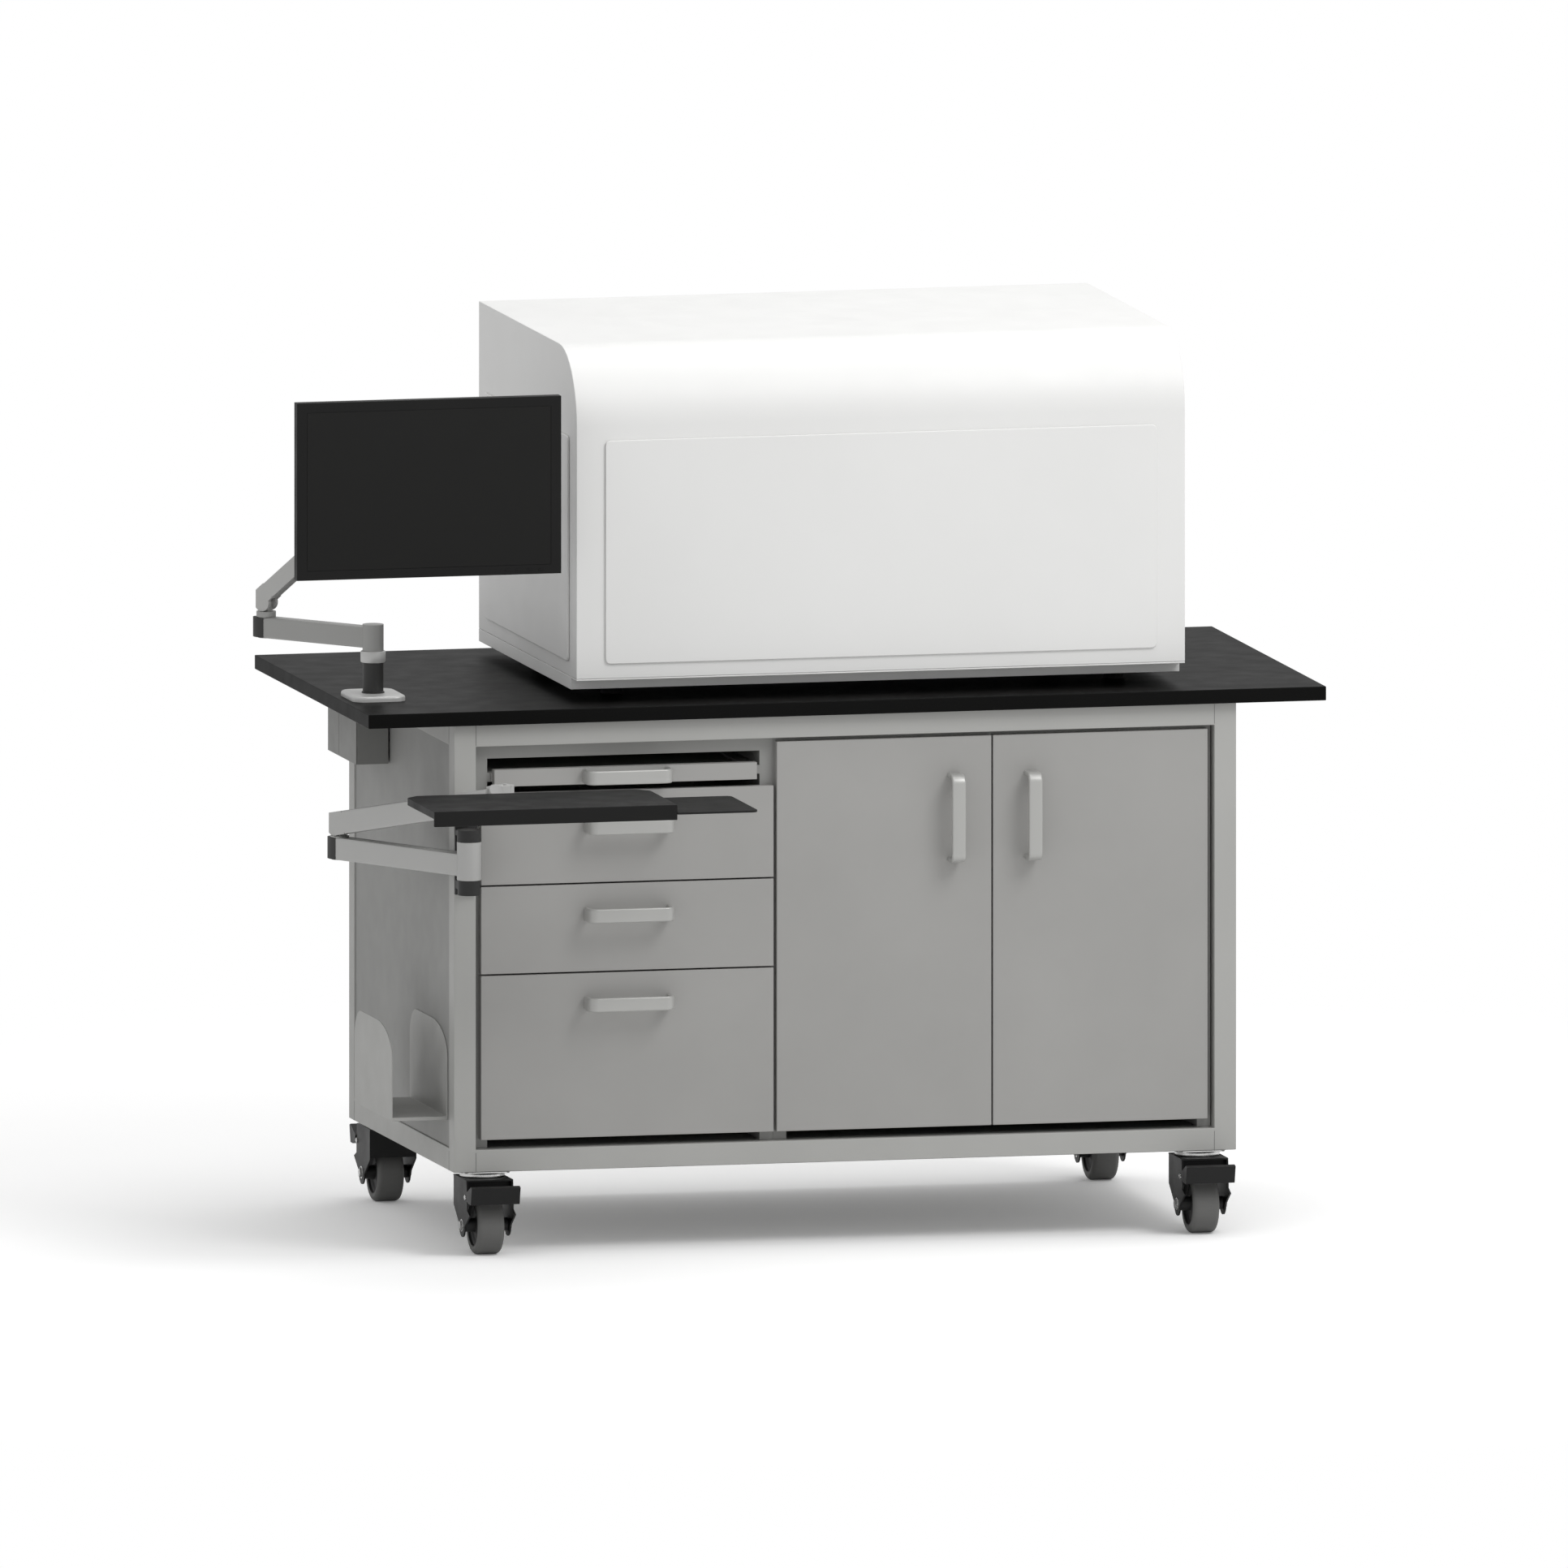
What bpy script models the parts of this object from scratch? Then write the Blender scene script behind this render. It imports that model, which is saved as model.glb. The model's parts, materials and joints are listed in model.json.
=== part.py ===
"""Mobile laboratory bench with drawers, a cupboard, an enclosure and two swing arms.

Metres, +Z up, +Y to the back. The bench is laid out about the centre of its
worktop and hung on one empty, which carries the middle of the whole outline
to the origin, on the floor.
"""
import math

import bmesh
import bpy
from mathutils import Matrix, Vector

# Clearances
SEAM = 0.0003  # between two faces that touch
RUN = 0.0005  # between two faces that slide or turn on each other
FRONT_GAP = 0.003  # between neighbouring drawer fronts and doors
BACK_CLEAR = 0.001  # between a closed front and the cabinet behind it

# Worktop and frame
WORKTOP_LENGTH = 1.800
WORKTOP_DEPTH = 0.900
WORKTOP_THICKNESS = 0.026
SIDE_OVERHANG = 0.165
FRONT_OVERHANG = 0.018
REAR_OVERHANG = 0.052
FRAME_HEIGHT = 0.825
TUBE = 0.041
PANEL_THICKNESS = 0.012
PANEL_RECESS = 0.003

# Cabinets
BOARD = 0.025
BACK_BOARD = 0.012
CABINET_REAR_GAP = 0.009
CABINET_SIDE_GAP = 0.002
CABINET_SPLIT = -0.130
SHELF_THICKNESS = 0.018
SHELF_HEIGHT = 0.350
SHELF_SETBACK = 0.040

# Fronts and their handles
FRONT_THICKNESS = 0.018
FRONT_RECESS = 0.006
FRONT_SIDE_GAP = 0.0112
FRONT_TOP_GAP = 0.0075
FRONT_FOOT_GAP = 0.017
DRAWER_DOOR_GAP = 0.006
PULLOUT_BAY_HEIGHT = 0.0805
TOP_DRAWER_SHARE = 0.2666
MIDDLE_DRAWER_SHARE = 0.2547
HANDLE_LENGTH = 0.163
HANDLE_WIDTH = 0.026
HANDLE_THICKNESS = 0.008
HANDLE_BEND = 0.018
HANDLE_REACH = 0.044
TOP_HANDLE_DROP = 0.064
LOWER_HANDLE_DROP = 0.055
DOOR_HANDLE_INSET = 0.072
DOOR_HANDLE_DROP = 0.148

# Drawer boxes and runners
BOX_DEPTH = 0.420
BOX_WALL = 0.012
BOX_FLOOR = 0.008
BOX_TOP_DROP = 0.030
BOX_LIFT = 0.012
RUNNER_THICKNESS = 0.006
RUNNER_HEIGHT = 0.040
RUNNER_LIFT = 0.022

# Pull-out shelf
SHELF_FRONT_SIDE_GAP = 0.0093
SHELF_FRONT_HEIGHT = 0.031
SHELF_FRONT_RISE = 0.0126
SHELF_BOARD = 0.012
SHELF_BOARD_DEPTH = 0.400
SHELF_RUNNER_HEIGHT = 0.016

# Door hinges
HINGE_INSET = 0.004
HINGE_CLEAR = 0.0007
HINGE_ARM_LENGTH = 0.070
HINGE_ARM_WIDTH = 0.014
HINGE_ARM_HEIGHT = 0.022
HINGE_END_DISTANCE = 0.090

# Computer holder
HOLDER_WIDTH = 0.1057
HOLDER_DEPTH = 0.293
HOLDER_HEIGHT = 0.174
HOLDER_SHEET = 0.002
HOLDER_FLOOR = 0.0065
HOLDER_FRONT = 0.061
HOLDER_LIFT = 0.0496
HOLDER_REAR_RADIUS = 0.050
HOLDER_SLOPE_LENGTH = 0.120
HOLDER_SLOPE_DROP = 0.058

# Outlet box
OUTLET_WIDTH = 0.061
OUTLET_DEPTH = 0.222
OUTLET_HEIGHT = 0.1345
OUTLET_SETBACK = 0.517
OUTLET_LID = 0.002

# Enclosure on the worktop
ENCLOSURE_LENGTH = 1.144
ENCLOSURE_DEPTH = 0.770
ENCLOSURE_CENTRE_X = 0.078
ENCLOSURE_FOOT_HEIGHT = 0.0215
ENCLOSURE_FOOT_RADIUS = 0.020
ENCLOSURE_FOOT_INSET = 0.100
PLINTH_HEIGHT = 0.0235
PLINTH_SETBACK = 0.044
COVER_HEIGHT = 0.603
COVER_SHEET = 0.003
COVER_BEND = 0.138
ACCESS_LIFT = 0.027
ACCESS_PROUD = 0.004
ACCESS_CORNER = 0.009
FRONT_ACCESS_HEIGHT = 0.412
FRONT_ACCESS_MARGIN = 0.054
SIDE_ACCESS_MARGIN = 0.054
SIDE_ACCESS_HEIGHT = 0.415

# Casters
CASTER_HEIGHT = 0.153
CASTER_INSET_X = 0.063
CASTER_INSET_FRONT = 0.044
CASTER_INSET_REAR = 0.044
CASTER_PLATE = 0.084
CASTER_PLATE_THICKNESS = 0.003
RACE_RADIUS = 0.0405
RACE_HEIGHT = 0.009
FORK_SHEET = 0.003
FORK_WIDTH = 0.088
CASTER_TRAIL = 0.025
WHEEL_RADIUS = 0.054
WHEEL_WIDTH = 0.050
TREAD_DEPTH = 0.015
TREAD_ROUNDING = 0.008
HUB_RECESS = 0.004
HUB_RADIUS = 0.012
AXLE_RADIUS = 0.006
BOLT_RADIUS = 0.009
BOLT_HEIGHT = 0.0045
LEG_REACH = 0.022
LEG_FRONT_REACH = 0.028
LEG_FRONT_HEIGHT = 0.078
FORK_SKIRT_BOTTOM = 0.108
FORK_BACK_BOTTOM = 0.085
FORK_BACK_SETBACK = 0.002
PEDAL_PIVOT_OUT = 0.057
PEDAL_PIVOT_HEIGHT = 0.109
PEDAL_LENGTH = 0.055
PEDAL_WIDTH = 0.092
PEDAL_LIP = 0.025
PEDAL_DROP = 0.009
PEDAL_EAR = 0.010
EAR_RADIUS = 0.008

# Monitor and its arm
MONITOR_WIDTH = 0.4966
MONITOR_HEIGHT = 0.327
MONITOR_RIM_DEPTH = 0.022
MONITOR_DEPTH = 0.045
MONITOR_BACK_INSET = 0.050
BEZEL_SIDE = 0.019
BEZEL_TOP = 0.018
BEZEL_BOTTOM = 0.017
SCREEN_RECESS = 0.002
SCREEN_THICKNESS = 0.0015
BUTTON_COUNT = 4
BUTTON_PITCH = 0.021
BUTTON_WIDTH = 0.009
BUTTON_HEIGHT = 0.003
BUTTON_PROUD = 0.001
MONITOR_BASE_X = -0.835
MONITOR_BASE_Y = -0.212
MONITOR_BASE_WIDTH = 0.100
MONITOR_BASE_DEPTH = 0.130
MONITOR_BASE_THICKNESS = 0.010
MONITOR_BASE_CORNER = 0.020
COLUMN_RADIUS = 0.019
COLUMN_HEIGHT = 0.0564
COLLAR_RADIUS = 0.023
COLLAR_HEIGHT = 0.0207
MONITOR_LOWER_LENGTH = 0.247
MONITOR_LOWER_YAW = 128.9
MONITOR_UPPER_LENGTH = 0.4035
MONITOR_UPPER_YAW = -49.0
MONITOR_UPPER_PITCH = 39.3
MONITOR_UPPER_LIFT = 0.010
MONITOR_UPPER_HEIGHT = 0.032
MONITOR_ELBOW_HEIGHT = 0.010
MONITOR_ROOT_FOOT = 0.016
MONITOR_HUB_RADIUS = 0.0195
MONITOR_HUB_HEIGHT = 0.0486
MONITOR_ARM_HEIGHT = 0.0386
PAN_OUT = 0.066
TILT_OUT = 0.045
PAN_RADIUS = 0.012
PAN_HEIGHT = 0.040
YOKE_LUG = 0.006
YOKE_WIDTH = 0.016
NECK_WIDTH = 0.014
TILT_RADIUS = 0.010
TILT_WIDTH = 0.040
MOUNT_EAR = 0.008
MOUNT_PLATE = 0.100
MOUNT_THICKNESS = 0.008
MOUNT_OUT = 0.034

# Keyboard arm and tray
POST_OUT = 0.062
POST_INSET = 0.0134
POST_BOTTOM = 0.6731
POST_FOOT_HEIGHT = 0.0275
POST_FOOT_RADIUS = 0.021
POST_CAP_RADIUS = 0.0223
POST_CAP_HEIGHT = 0.0214
KEYBOARD_HUB_RADIUS = 0.0225
KEYBOARD_HUB_HEIGHT = 0.0703
KEYBOARD_ARM_HEIGHT = 0.042
KEYBOARD_ARM_DROP = 0.0083
KEYBOARD_LOWER_LENGTH = 0.346
KEYBOARD_LOWER_YAW = 119.8
KEYBOARD_ELBOW_HEIGHT = 0.0015
KEYBOARD_ROOT_FOOT = 0.0222
KEYBOARD_UPPER_HEIGHT = 0.043
KEYBOARD_UPPER_LENGTH = 0.4750
KEYBOARD_UPPER_YAW = -64.34
KEYBOARD_UPPER_PITCH = 13.28
KEYBOARD_UPPER_LIFT = 0.0
KEYBOARD_UPPER_SAG = 0.0195
KEYBOARD_KNUCKLE = 0.008
HEAD_CLEVIS_RADIUS = 0.0085
HEAD_DROP = 0.016
BRACKET_PLATE = 0.008
BRACKET_MARGIN = 0.006
LUG_WIDTH = 0.026
TRAY_LENGTH = 0.457
TRAY_DEPTH = 0.235
TRAY_BOARD = 0.0145
TRAY_LIP = 0.007
TRAY_SKIRT = 0.014
TRAY_CHAMFER = 0.022
TRAY_OFFSET_X = 0.0385
TRAY_OFFSET_Y = 0.054
PLATFORM_WIDTH = 0.152
PLATFORM_DEPTH = 0.219
PLATFORM_THICKNESS = 0.004
PLATFORM_CORNER = 0.012
PLATFORM_TONGUE = 0.134
PLATFORM_TONGUE_INSET = 0.040
HEAD_PLATE_WIDTH = 0.100
HEAD_PLATE_DEPTH = 0.080
HEAD_PLATE_THICKNESS = 0.005

# What both arms share
ARM_WIDTH = 0.030
ARM_CORNER = 0.004
ROOT_RADIUS = 0.013
ROOT_WALL = 0.004
ELBOW_TONGUE_RADIUS = 0.0095
TONGUE_WIDTH = 0.014
TONGUE_RADIUS = 0.013
CHEEK_WIDTH = 0.0075
CHEEK_RADIUS = 0.016
HEAD_REACH = 0.026
ELBOW_RADIUS = 0.018
TURNED_SIDE_COUNT = 24

# Levels and planes that follow from the sizes above
FRAME_X = WORKTOP_LENGTH / 2 - SIDE_OVERHANG
FRAME_FRONT = -WORKTOP_DEPTH / 2 + FRONT_OVERHANG
FRAME_REAR = WORKTOP_DEPTH / 2 - REAR_OVERHANG
FRAME_BOTTOM = CASTER_HEIGHT
FRAME_TOP = FRAME_BOTTOM + FRAME_HEIGHT
WORKTOP_TOP = FRAME_TOP + SEAM + WORKTOP_THICKNESS
OPENING_X = FRAME_X - TUBE
OPENING_BOTTOM = FRAME_BOTTOM + TUBE
OPENING_TOP = FRAME_TOP - TUBE
FRONT_PLANE = FRAME_FRONT + FRONT_RECESS
FRONT_BACK = FRONT_PLANE + FRONT_THICKNESS
CABINET_FRONT = FRONT_BACK + BACK_CLEAR
CABINET_REAR = FRAME_REAR - TUBE - CABINET_REAR_GAP
CABINET_X = OPENING_X - CABINET_SIDE_GAP
CABINET_BOTTOM = OPENING_BOTTOM + SEAM
CABINET_TOP = OPENING_TOP - SEAM
BAY_LEFT = -CABINET_X + BOARD
BAY_RIGHT = CABINET_SPLIT - SEAM / 2 - BOARD
CUPBOARD_LEFT = CABINET_SPLIT + SEAM / 2 + BOARD
CUPBOARD_RIGHT = CABINET_X - BOARD
FRONTS_X = OPENING_X - FRONT_SIDE_GAP
FRONTS_BOTTOM = OPENING_BOTTOM + FRONT_FOOT_GAP
FRONTS_TOP = OPENING_TOP - FRONT_TOP_GAP
DRAWERS_TOP = FRONTS_TOP - PULLOUT_BAY_HEIGHT
DRAWER_STACK = DRAWERS_TOP - FRONTS_BOTTOM - FRONT_GAP * 2
TOP_DRAWER_HEIGHT = DRAWER_STACK * TOP_DRAWER_SHARE
MIDDLE_DRAWER_HEIGHT = DRAWER_STACK * MIDDLE_DRAWER_SHARE
BOTTOM_DRAWER_HEIGHT = DRAWER_STACK - TOP_DRAWER_HEIGHT - MIDDLE_DRAWER_HEIGHT
DRAWERS_RIGHT = CABINET_SPLIT - DRAWER_DOOR_GAP / 2
DOORS_LEFT = CABINET_SPLIT + DRAWER_DOOR_GAP / 2
BOX_CLEAR = RUNNER_THICKNESS * 2 + RUN
ENCLOSURE_BOTTOM = WORKTOP_TOP + ENCLOSURE_FOOT_HEIGHT
COVER_BOTTOM = ENCLOSURE_BOTTOM + PLINTH_HEIGHT + SEAM
ENCLOSURE_LEFT = ENCLOSURE_CENTRE_X - ENCLOSURE_LENGTH / 2
ENCLOSURE_RIGHT = ENCLOSURE_CENTRE_X + ENCLOSURE_LENGTH / 2


def heading(yaw):
    """Give the level unit vector at an angle in degrees from +X."""
    angle = math.radians(yaw)
    return Vector((math.cos(angle), math.sin(angle), 0))


def reach(length, yaw, pitch=0.0):
    """Give the vector of a straight link from its length, yaw and pitch."""
    rise = math.radians(pitch)
    return heading(yaw) * length * math.cos(rise) + Vector((0, 0, length * math.sin(rise)))


# Joints of the two arms
COLLAR_TOP = WORKTOP_TOP + SEAM + MONITOR_BASE_THICKNESS + COLUMN_HEIGHT + COLLAR_HEIGHT
MONITOR_POST = Vector((MONITOR_BASE_X, MONITOR_BASE_Y, COLLAR_TOP + SEAM))
MONITOR_ELBOW = MONITOR_POST + reach(MONITOR_LOWER_LENGTH, MONITOR_LOWER_YAW) + Vector(
    (0, 0, (MONITOR_HUB_HEIGHT + MONITOR_ARM_HEIGHT) / 2 + SEAM))
MONITOR_RISE = MONITOR_ELBOW_HEIGHT + MONITOR_ROOT_FOOT + RUN
MONITOR_LIFT = MONITOR_ELBOW + Vector((0, 0, MONITOR_RISE))
MONITOR_HEAD = MONITOR_LIFT + reach(MONITOR_UPPER_LENGTH, MONITOR_UPPER_YAW, MONITOR_UPPER_PITCH)
MONITOR_PAN = MONITOR_HEAD + Vector((0, -PAN_OUT, 0))
MONITOR_TILT = MONITOR_PAN + Vector((0, -TILT_OUT, 0))
MONITOR_BACK = MONITOR_TILT.y - MOUNT_OUT - SEAM

POST_X = -FRAME_X + POST_INSET
POST_Y = FRAME_FRONT - POST_OUT
KEYBOARD_POST = Vector((POST_X, POST_Y, POST_BOTTOM + POST_FOOT_HEIGHT + SEAM))
KEYBOARD_ELBOW = KEYBOARD_POST + reach(KEYBOARD_LOWER_LENGTH, KEYBOARD_LOWER_YAW) + Vector(
    (0, 0, (KEYBOARD_HUB_HEIGHT + KEYBOARD_ARM_HEIGHT) / 2 - KEYBOARD_ARM_DROP + SEAM))
KEYBOARD_RISE = KEYBOARD_ELBOW_HEIGHT + KEYBOARD_ROOT_FOOT + RUN
KEYBOARD_LIFT = KEYBOARD_ELBOW + Vector((0, 0, KEYBOARD_RISE))
KEYBOARD_HEAD = KEYBOARD_LIFT + reach(
    KEYBOARD_UPPER_LENGTH, KEYBOARD_UPPER_YAW, KEYBOARD_UPPER_PITCH)
HEAD_PLATE_TOP = KEYBOARD_HEAD.z - HEAD_DROP - RUN
TRAY_LEFT = KEYBOARD_HEAD.x + TRAY_OFFSET_X - TRAY_LENGTH / 2
TRAY_RIGHT = TRAY_LEFT + TRAY_LENGTH
TRAY_REAR = KEYBOARD_HEAD.y - TRAY_OFFSET_Y
TRAY_FRONT = TRAY_REAR - TRAY_DEPTH
TRAY_UNDER = HEAD_PLATE_TOP + SEAM

# The middle of the whole outline goes to the origin
OUTLINE_LEFT = MONITOR_HEAD.x - MONITOR_WIDTH / 2
OUTLINE_MIDDLE_X = (OUTLINE_LEFT + WORKTOP_LENGTH / 2) / 2
OUTLINE_REAR = FRAME_REAR - CASTER_INSET_REAR + PEDAL_PIVOT_OUT + PEDAL_LENGTH
OUTLINE_MIDDLE_Y = (TRAY_FRONT + OUTLINE_REAR) / 2

FRAME_GREY = ("frame_grey", (0.40, 0.39, 0.38), 0.45, 0.0)
FRONT_GREY = ("front_grey", (0.31, 0.31, 0.31), 0.50, 0.0)
PANEL_GREY = ("panel_grey", (0.27, 0.27, 0.27), 0.55, 0.0)
BOARD_GREY = ("board_grey", (0.45, 0.45, 0.44), 0.60, 0.0)
WORKTOP_BLACK = ("worktop_black", (0.045, 0.047, 0.050), 0.35, 0.0)
HANDLE_SATIN = ("handle_satin", (0.45, 0.45, 0.45), 0.35, 0.9)
ENCLOSURE_WHITE = ("enclosure_white", (0.84, 0.85, 0.86), 0.45, 0.0)
ARM_SILVER = ("arm_silver", (0.42, 0.42, 0.43), 0.40, 0.6)
BLACK_PLASTIC = ("black_plastic", (0.020, 0.020, 0.022), 0.50, 0.0)
CASTER_BLACK = ("caster_black", (0.015, 0.015, 0.016), 0.45, 0.0)
TREAD_GREY = ("tread_grey", (0.13, 0.13, 0.13), 0.70, 0.0)
SCREEN_GLASS = ("screen_glass", (0.010, 0.011, 0.014), 0.12, 0.0)

PLANES = {"x": (1, 2, 0), "y": (0, 2, 1), "z": (0, 1, 2)}


def clear_scene():
    """Remove whatever objects the scene starts with."""
    for obj in list(bpy.data.objects):
        bpy.data.objects.remove(obj, do_unlink=True)


def material_of(finish):
    """Make the material of a finish once and give it back each time."""
    name, colour, roughness, metallic = finish
    material = bpy.data.materials.get(name)
    if material is None:
        material = bpy.data.materials.new(name)
        material.use_nodes = True
        shader = material.node_tree.nodes["Principled BSDF"]
        shader.inputs["Base Color"].default_value = (*colour, 1.0)
        shader.inputs["Roughness"].default_value = roughness
        shader.inputs["Metallic"].default_value = metallic
    return material


def make_object(name, solid, finish, location=(0, 0, 0), rotation=(0, 0, 0), parent=None, round_piece=False):
    """Turn a finished bmesh into a named object that hangs on its parent."""
    bmesh.ops.recalc_face_normals(solid, faces=solid.faces)
    mesh = bpy.data.meshes.new(name)
    solid.to_mesh(mesh)
    solid.free()
    return hang_mesh(name, mesh, finish, location, rotation, parent, round_piece)


def hang_mesh(name, mesh, finish, location, rotation, parent, round_piece=False):
    """Link an object that uses a mesh, which other objects may share."""
    if not mesh.materials:
        mesh.materials.append(material_of(finish))
    if round_piece:
        mesh.shade_smooth()
        mesh.set_sharp_from_angle(angle=math.radians(35))
    obj = bpy.data.objects.new(name, mesh)
    obj.location = location
    obj.rotation_euler = rotation
    obj.parent = parent
    bpy.context.collection.objects.link(obj)
    return obj


def about(solid, origin):
    """Move a solid so that a point of the bench becomes its own origin."""
    bmesh.ops.translate(solid, verts=solid.verts, vec=-Vector(origin))
    return solid


def skin(solid, rings, closed=False):
    """Skin a run of equal rings, and cap its two ends unless it closes on itself."""
    count = len(rings[0])
    pairs = list(zip(rings, rings[1:]))
    if closed:
        pairs.append((rings[-1], rings[0]))
    for lower, upper in pairs:
        for i in range(count):
            j = (i + 1) % count
            solid.faces.new((lower[i], lower[j], upper[j], upper[i]))
    if not closed:
        solid.faces.new(rings[0])
        solid.faces.new(rings[-1])


def ring_at(solid, outline, axis, depth):
    """Lay the points of a flat outline at a depth along an axis."""
    first, second, along = PLANES[axis]
    ring = []
    for a, b in outline:
        point = [0.0, 0.0, 0.0]
        point[first] = a
        point[second] = b
        point[along] = depth
        ring.append(solid.verts.new(point))
    return ring


def add_prism(solid, outline, axis, low, high):
    """Add an outline extruded along an axis."""
    skin(solid, [ring_at(solid, outline, axis, low), ring_at(solid, outline, axis, high)])


def add_box(solid, low, high):
    """Add a box between two corners."""
    add_prism(solid, rectangle(low[0], high[0], low[1], high[1]), "z", low[2], high[2])


def add_turned(solid, profile, axis, centre, bored=False, sides=TURNED_SIDE_COUNT):
    """Add a turned piece from (radius, height) points; a bored one closes on itself."""
    first, second, along = PLANES[axis]
    rings = []
    for radius, height in profile:
        ring = []
        for i in range(sides):
            angle = 2 * math.pi * i / sides
            point = list(centre)
            point[first] += radius * math.cos(angle)
            point[second] += radius * math.sin(angle)
            point[along] += height
            ring.append(solid.verts.new(point))
        rings.append(ring)
    skin(solid, rings, closed=bored)


def add_rod(solid, radius, axis, centre, low, high, sides=TURNED_SIDE_COUNT):
    """Add a plain round rod along an axis."""
    add_turned(solid, [(radius, low), (radius, high)], axis, centre, sides=sides)


def rectangle(a0, a1, b0, b1):
    """Give the corners of a rectangle."""
    return [(a0, b0), (a1, b0), (a1, b1), (a0, b1)]


def arc(centre, radii, start, end, steps):
    """Give points on an arc, with its angles in degrees."""
    points = []
    for i in range(steps + 1):
        angle = math.radians(start + (end - start) * i / steps)
        points.append((centre[0] + radii[0] * math.cos(angle), centre[1] + radii[1] * math.sin(angle)))
    return points


def rounded(a0, a1, b0, b1, radius, steps=3):
    """Give a rectangle with round corners."""
    radii = (radius, radius)
    points = []
    for centre, start in (
        ((a1 - radius, b0 + radius), -90),
        ((a1 - radius, b1 - radius), 0),
        ((a0 + radius, b1 - radius), 90),
        ((a0 + radius, b0 + radius), 180),
    ):
        points += arc(centre, radii, start, start + 90, steps)
    return points


def unite(solids):
    """Join overlapping solids into one with exact Booleans."""
    objects = []
    for solid in solids:
        bmesh.ops.recalc_face_normals(solid, faces=solid.faces)
        mesh = bpy.data.meshes.new("blank")
        solid.to_mesh(mesh)
        solid.free()
        blank = bpy.data.objects.new("blank", mesh)
        bpy.context.collection.objects.link(blank)
        objects.append(blank)
    base = objects[0]
    for other in objects[1:]:
        joint = base.modifiers.new("join", "BOOLEAN")
        joint.operation = "UNION"
        joint.object = other
    bpy.context.view_layer.update()
    whole = bmesh.new()
    whole.from_mesh(base.evaluated_get(bpy.context.evaluated_depsgraph_get()).data)
    for blank in objects:
        bpy.data.objects.remove(blank, do_unlink=True)
    return whole


def alone(add, *args, **options):
    """Make a new solid with one of the functions that add a shape."""
    solid = bmesh.new()
    add(solid, *args, **options)
    return solid


def build_worktop(root):
    """Make the slab that closes the frame."""
    slab = bmesh.new()
    half_length = WORKTOP_LENGTH / 2
    half_depth = WORKTOP_DEPTH / 2
    add_box(slab, (-half_length, -half_depth, FRAME_TOP + SEAM), (half_length, half_depth, WORKTOP_TOP))
    make_object("worktop", slab, WORKTOP_BLACK, parent=root)


def build_frame(root):
    """Make the welded frame: posts, top and bottom rails, a cross rail, the caster plates."""
    bars = []
    inner_front = FRAME_FRONT + TUBE
    inner_rear = FRAME_REAR - TUBE
    for x in (-FRAME_X, OPENING_X):
        for y in (FRAME_FRONT, inner_rear):
            bars.append(alone(add_box, (x, y, FRAME_BOTTOM), (x + TUBE, y + TUBE, FRAME_TOP)))
    for z in (FRAME_BOTTOM, OPENING_TOP):
        for y in (FRAME_FRONT, inner_rear):
            bars.append(alone(
                add_box, (-OPENING_X - TUBE / 2, y, z), (OPENING_X + TUBE / 2, y + TUBE, z + TUBE)))
        for x in (-FRAME_X, OPENING_X):
            bars.append(alone(
                add_box, (x, inner_front - TUBE / 2, z), (x + TUBE, inner_rear + TUBE / 2, z + TUBE)))
    cross = CABINET_SPLIT - TUBE / 2
    bars.append(alone(
        add_box,
        (cross, inner_front - TUBE / 2, FRAME_BOTTOM),
        (cross + TUBE, inner_rear + TUBE / 2, OPENING_BOTTOM - BOARD - SEAM),
    ))
    half = CASTER_PLATE / 2
    for _, x, y, _ in caster_sites():
        bars.append(alone(
            add_box,
            (x - half, y - half, CASTER_HEIGHT - CASTER_PLATE_THICKNESS),
            (x + half, y + half, CASTER_HEIGHT),
        ))
    make_object("frame", unite(bars), FRAME_GREY, parent=root)


def build_outer_panels(root):
    """Make the flush panels that close the sides and the back of the frame."""
    inner_front = FRAME_FRONT + TUBE + SEAM
    inner_rear = FRAME_REAR - TUBE - SEAM
    bottom = OPENING_BOTTOM + SEAM
    top = OPENING_TOP - SEAM
    for name, side in (("side_panel_left", -1), ("side_panel_right", 1)):
        outer = side * (FRAME_X - PANEL_RECESS)
        inner = outer - side * PANEL_THICKNESS
        panel = bmesh.new()
        add_box(panel, (min(outer, inner), inner_front, bottom), (max(outer, inner), inner_rear, top))
        make_object(name, panel, PANEL_GREY, parent=root)
    rear = bmesh.new()
    rear_face = FRAME_REAR - PANEL_RECESS
    add_box(
        rear,
        (-OPENING_X + SEAM, rear_face - PANEL_THICKNESS, bottom),
        (OPENING_X - SEAM, rear_face, top),
    )
    make_object("rear_panel", rear, PANEL_GREY, parent=root)


def cabinet_solids(left, right, inner_left, inner_right, floor_left, floor_right):
    """Make a cabinet's sides, its top, its back and the floor let in between the rails."""
    lap = BOARD / 2
    return [
        alone(add_box, (left, CABINET_FRONT, CABINET_BOTTOM), (inner_left, CABINET_REAR, CABINET_TOP)),
        alone(add_box, (inner_right, CABINET_FRONT, CABINET_BOTTOM), (right, CABINET_REAR, CABINET_TOP)),
        alone(
            add_box,
            (inner_left - lap, CABINET_FRONT, CABINET_TOP - BOARD),
            (inner_right + lap, CABINET_REAR, CABINET_TOP),
        ),
        alone(
            add_box,
            (inner_left - lap, CABINET_REAR - BACK_BOARD, OPENING_BOTTOM - BOARD / 2),
            (inner_right + lap, CABINET_REAR, CABINET_TOP - lap),
        ),
        alone(
            add_box,
            (floor_left, FRAME_FRONT + TUBE + SEAM, OPENING_BOTTOM - BOARD),
            (floor_right, CABINET_REAR, OPENING_BOTTOM),
        ),
    ]


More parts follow.
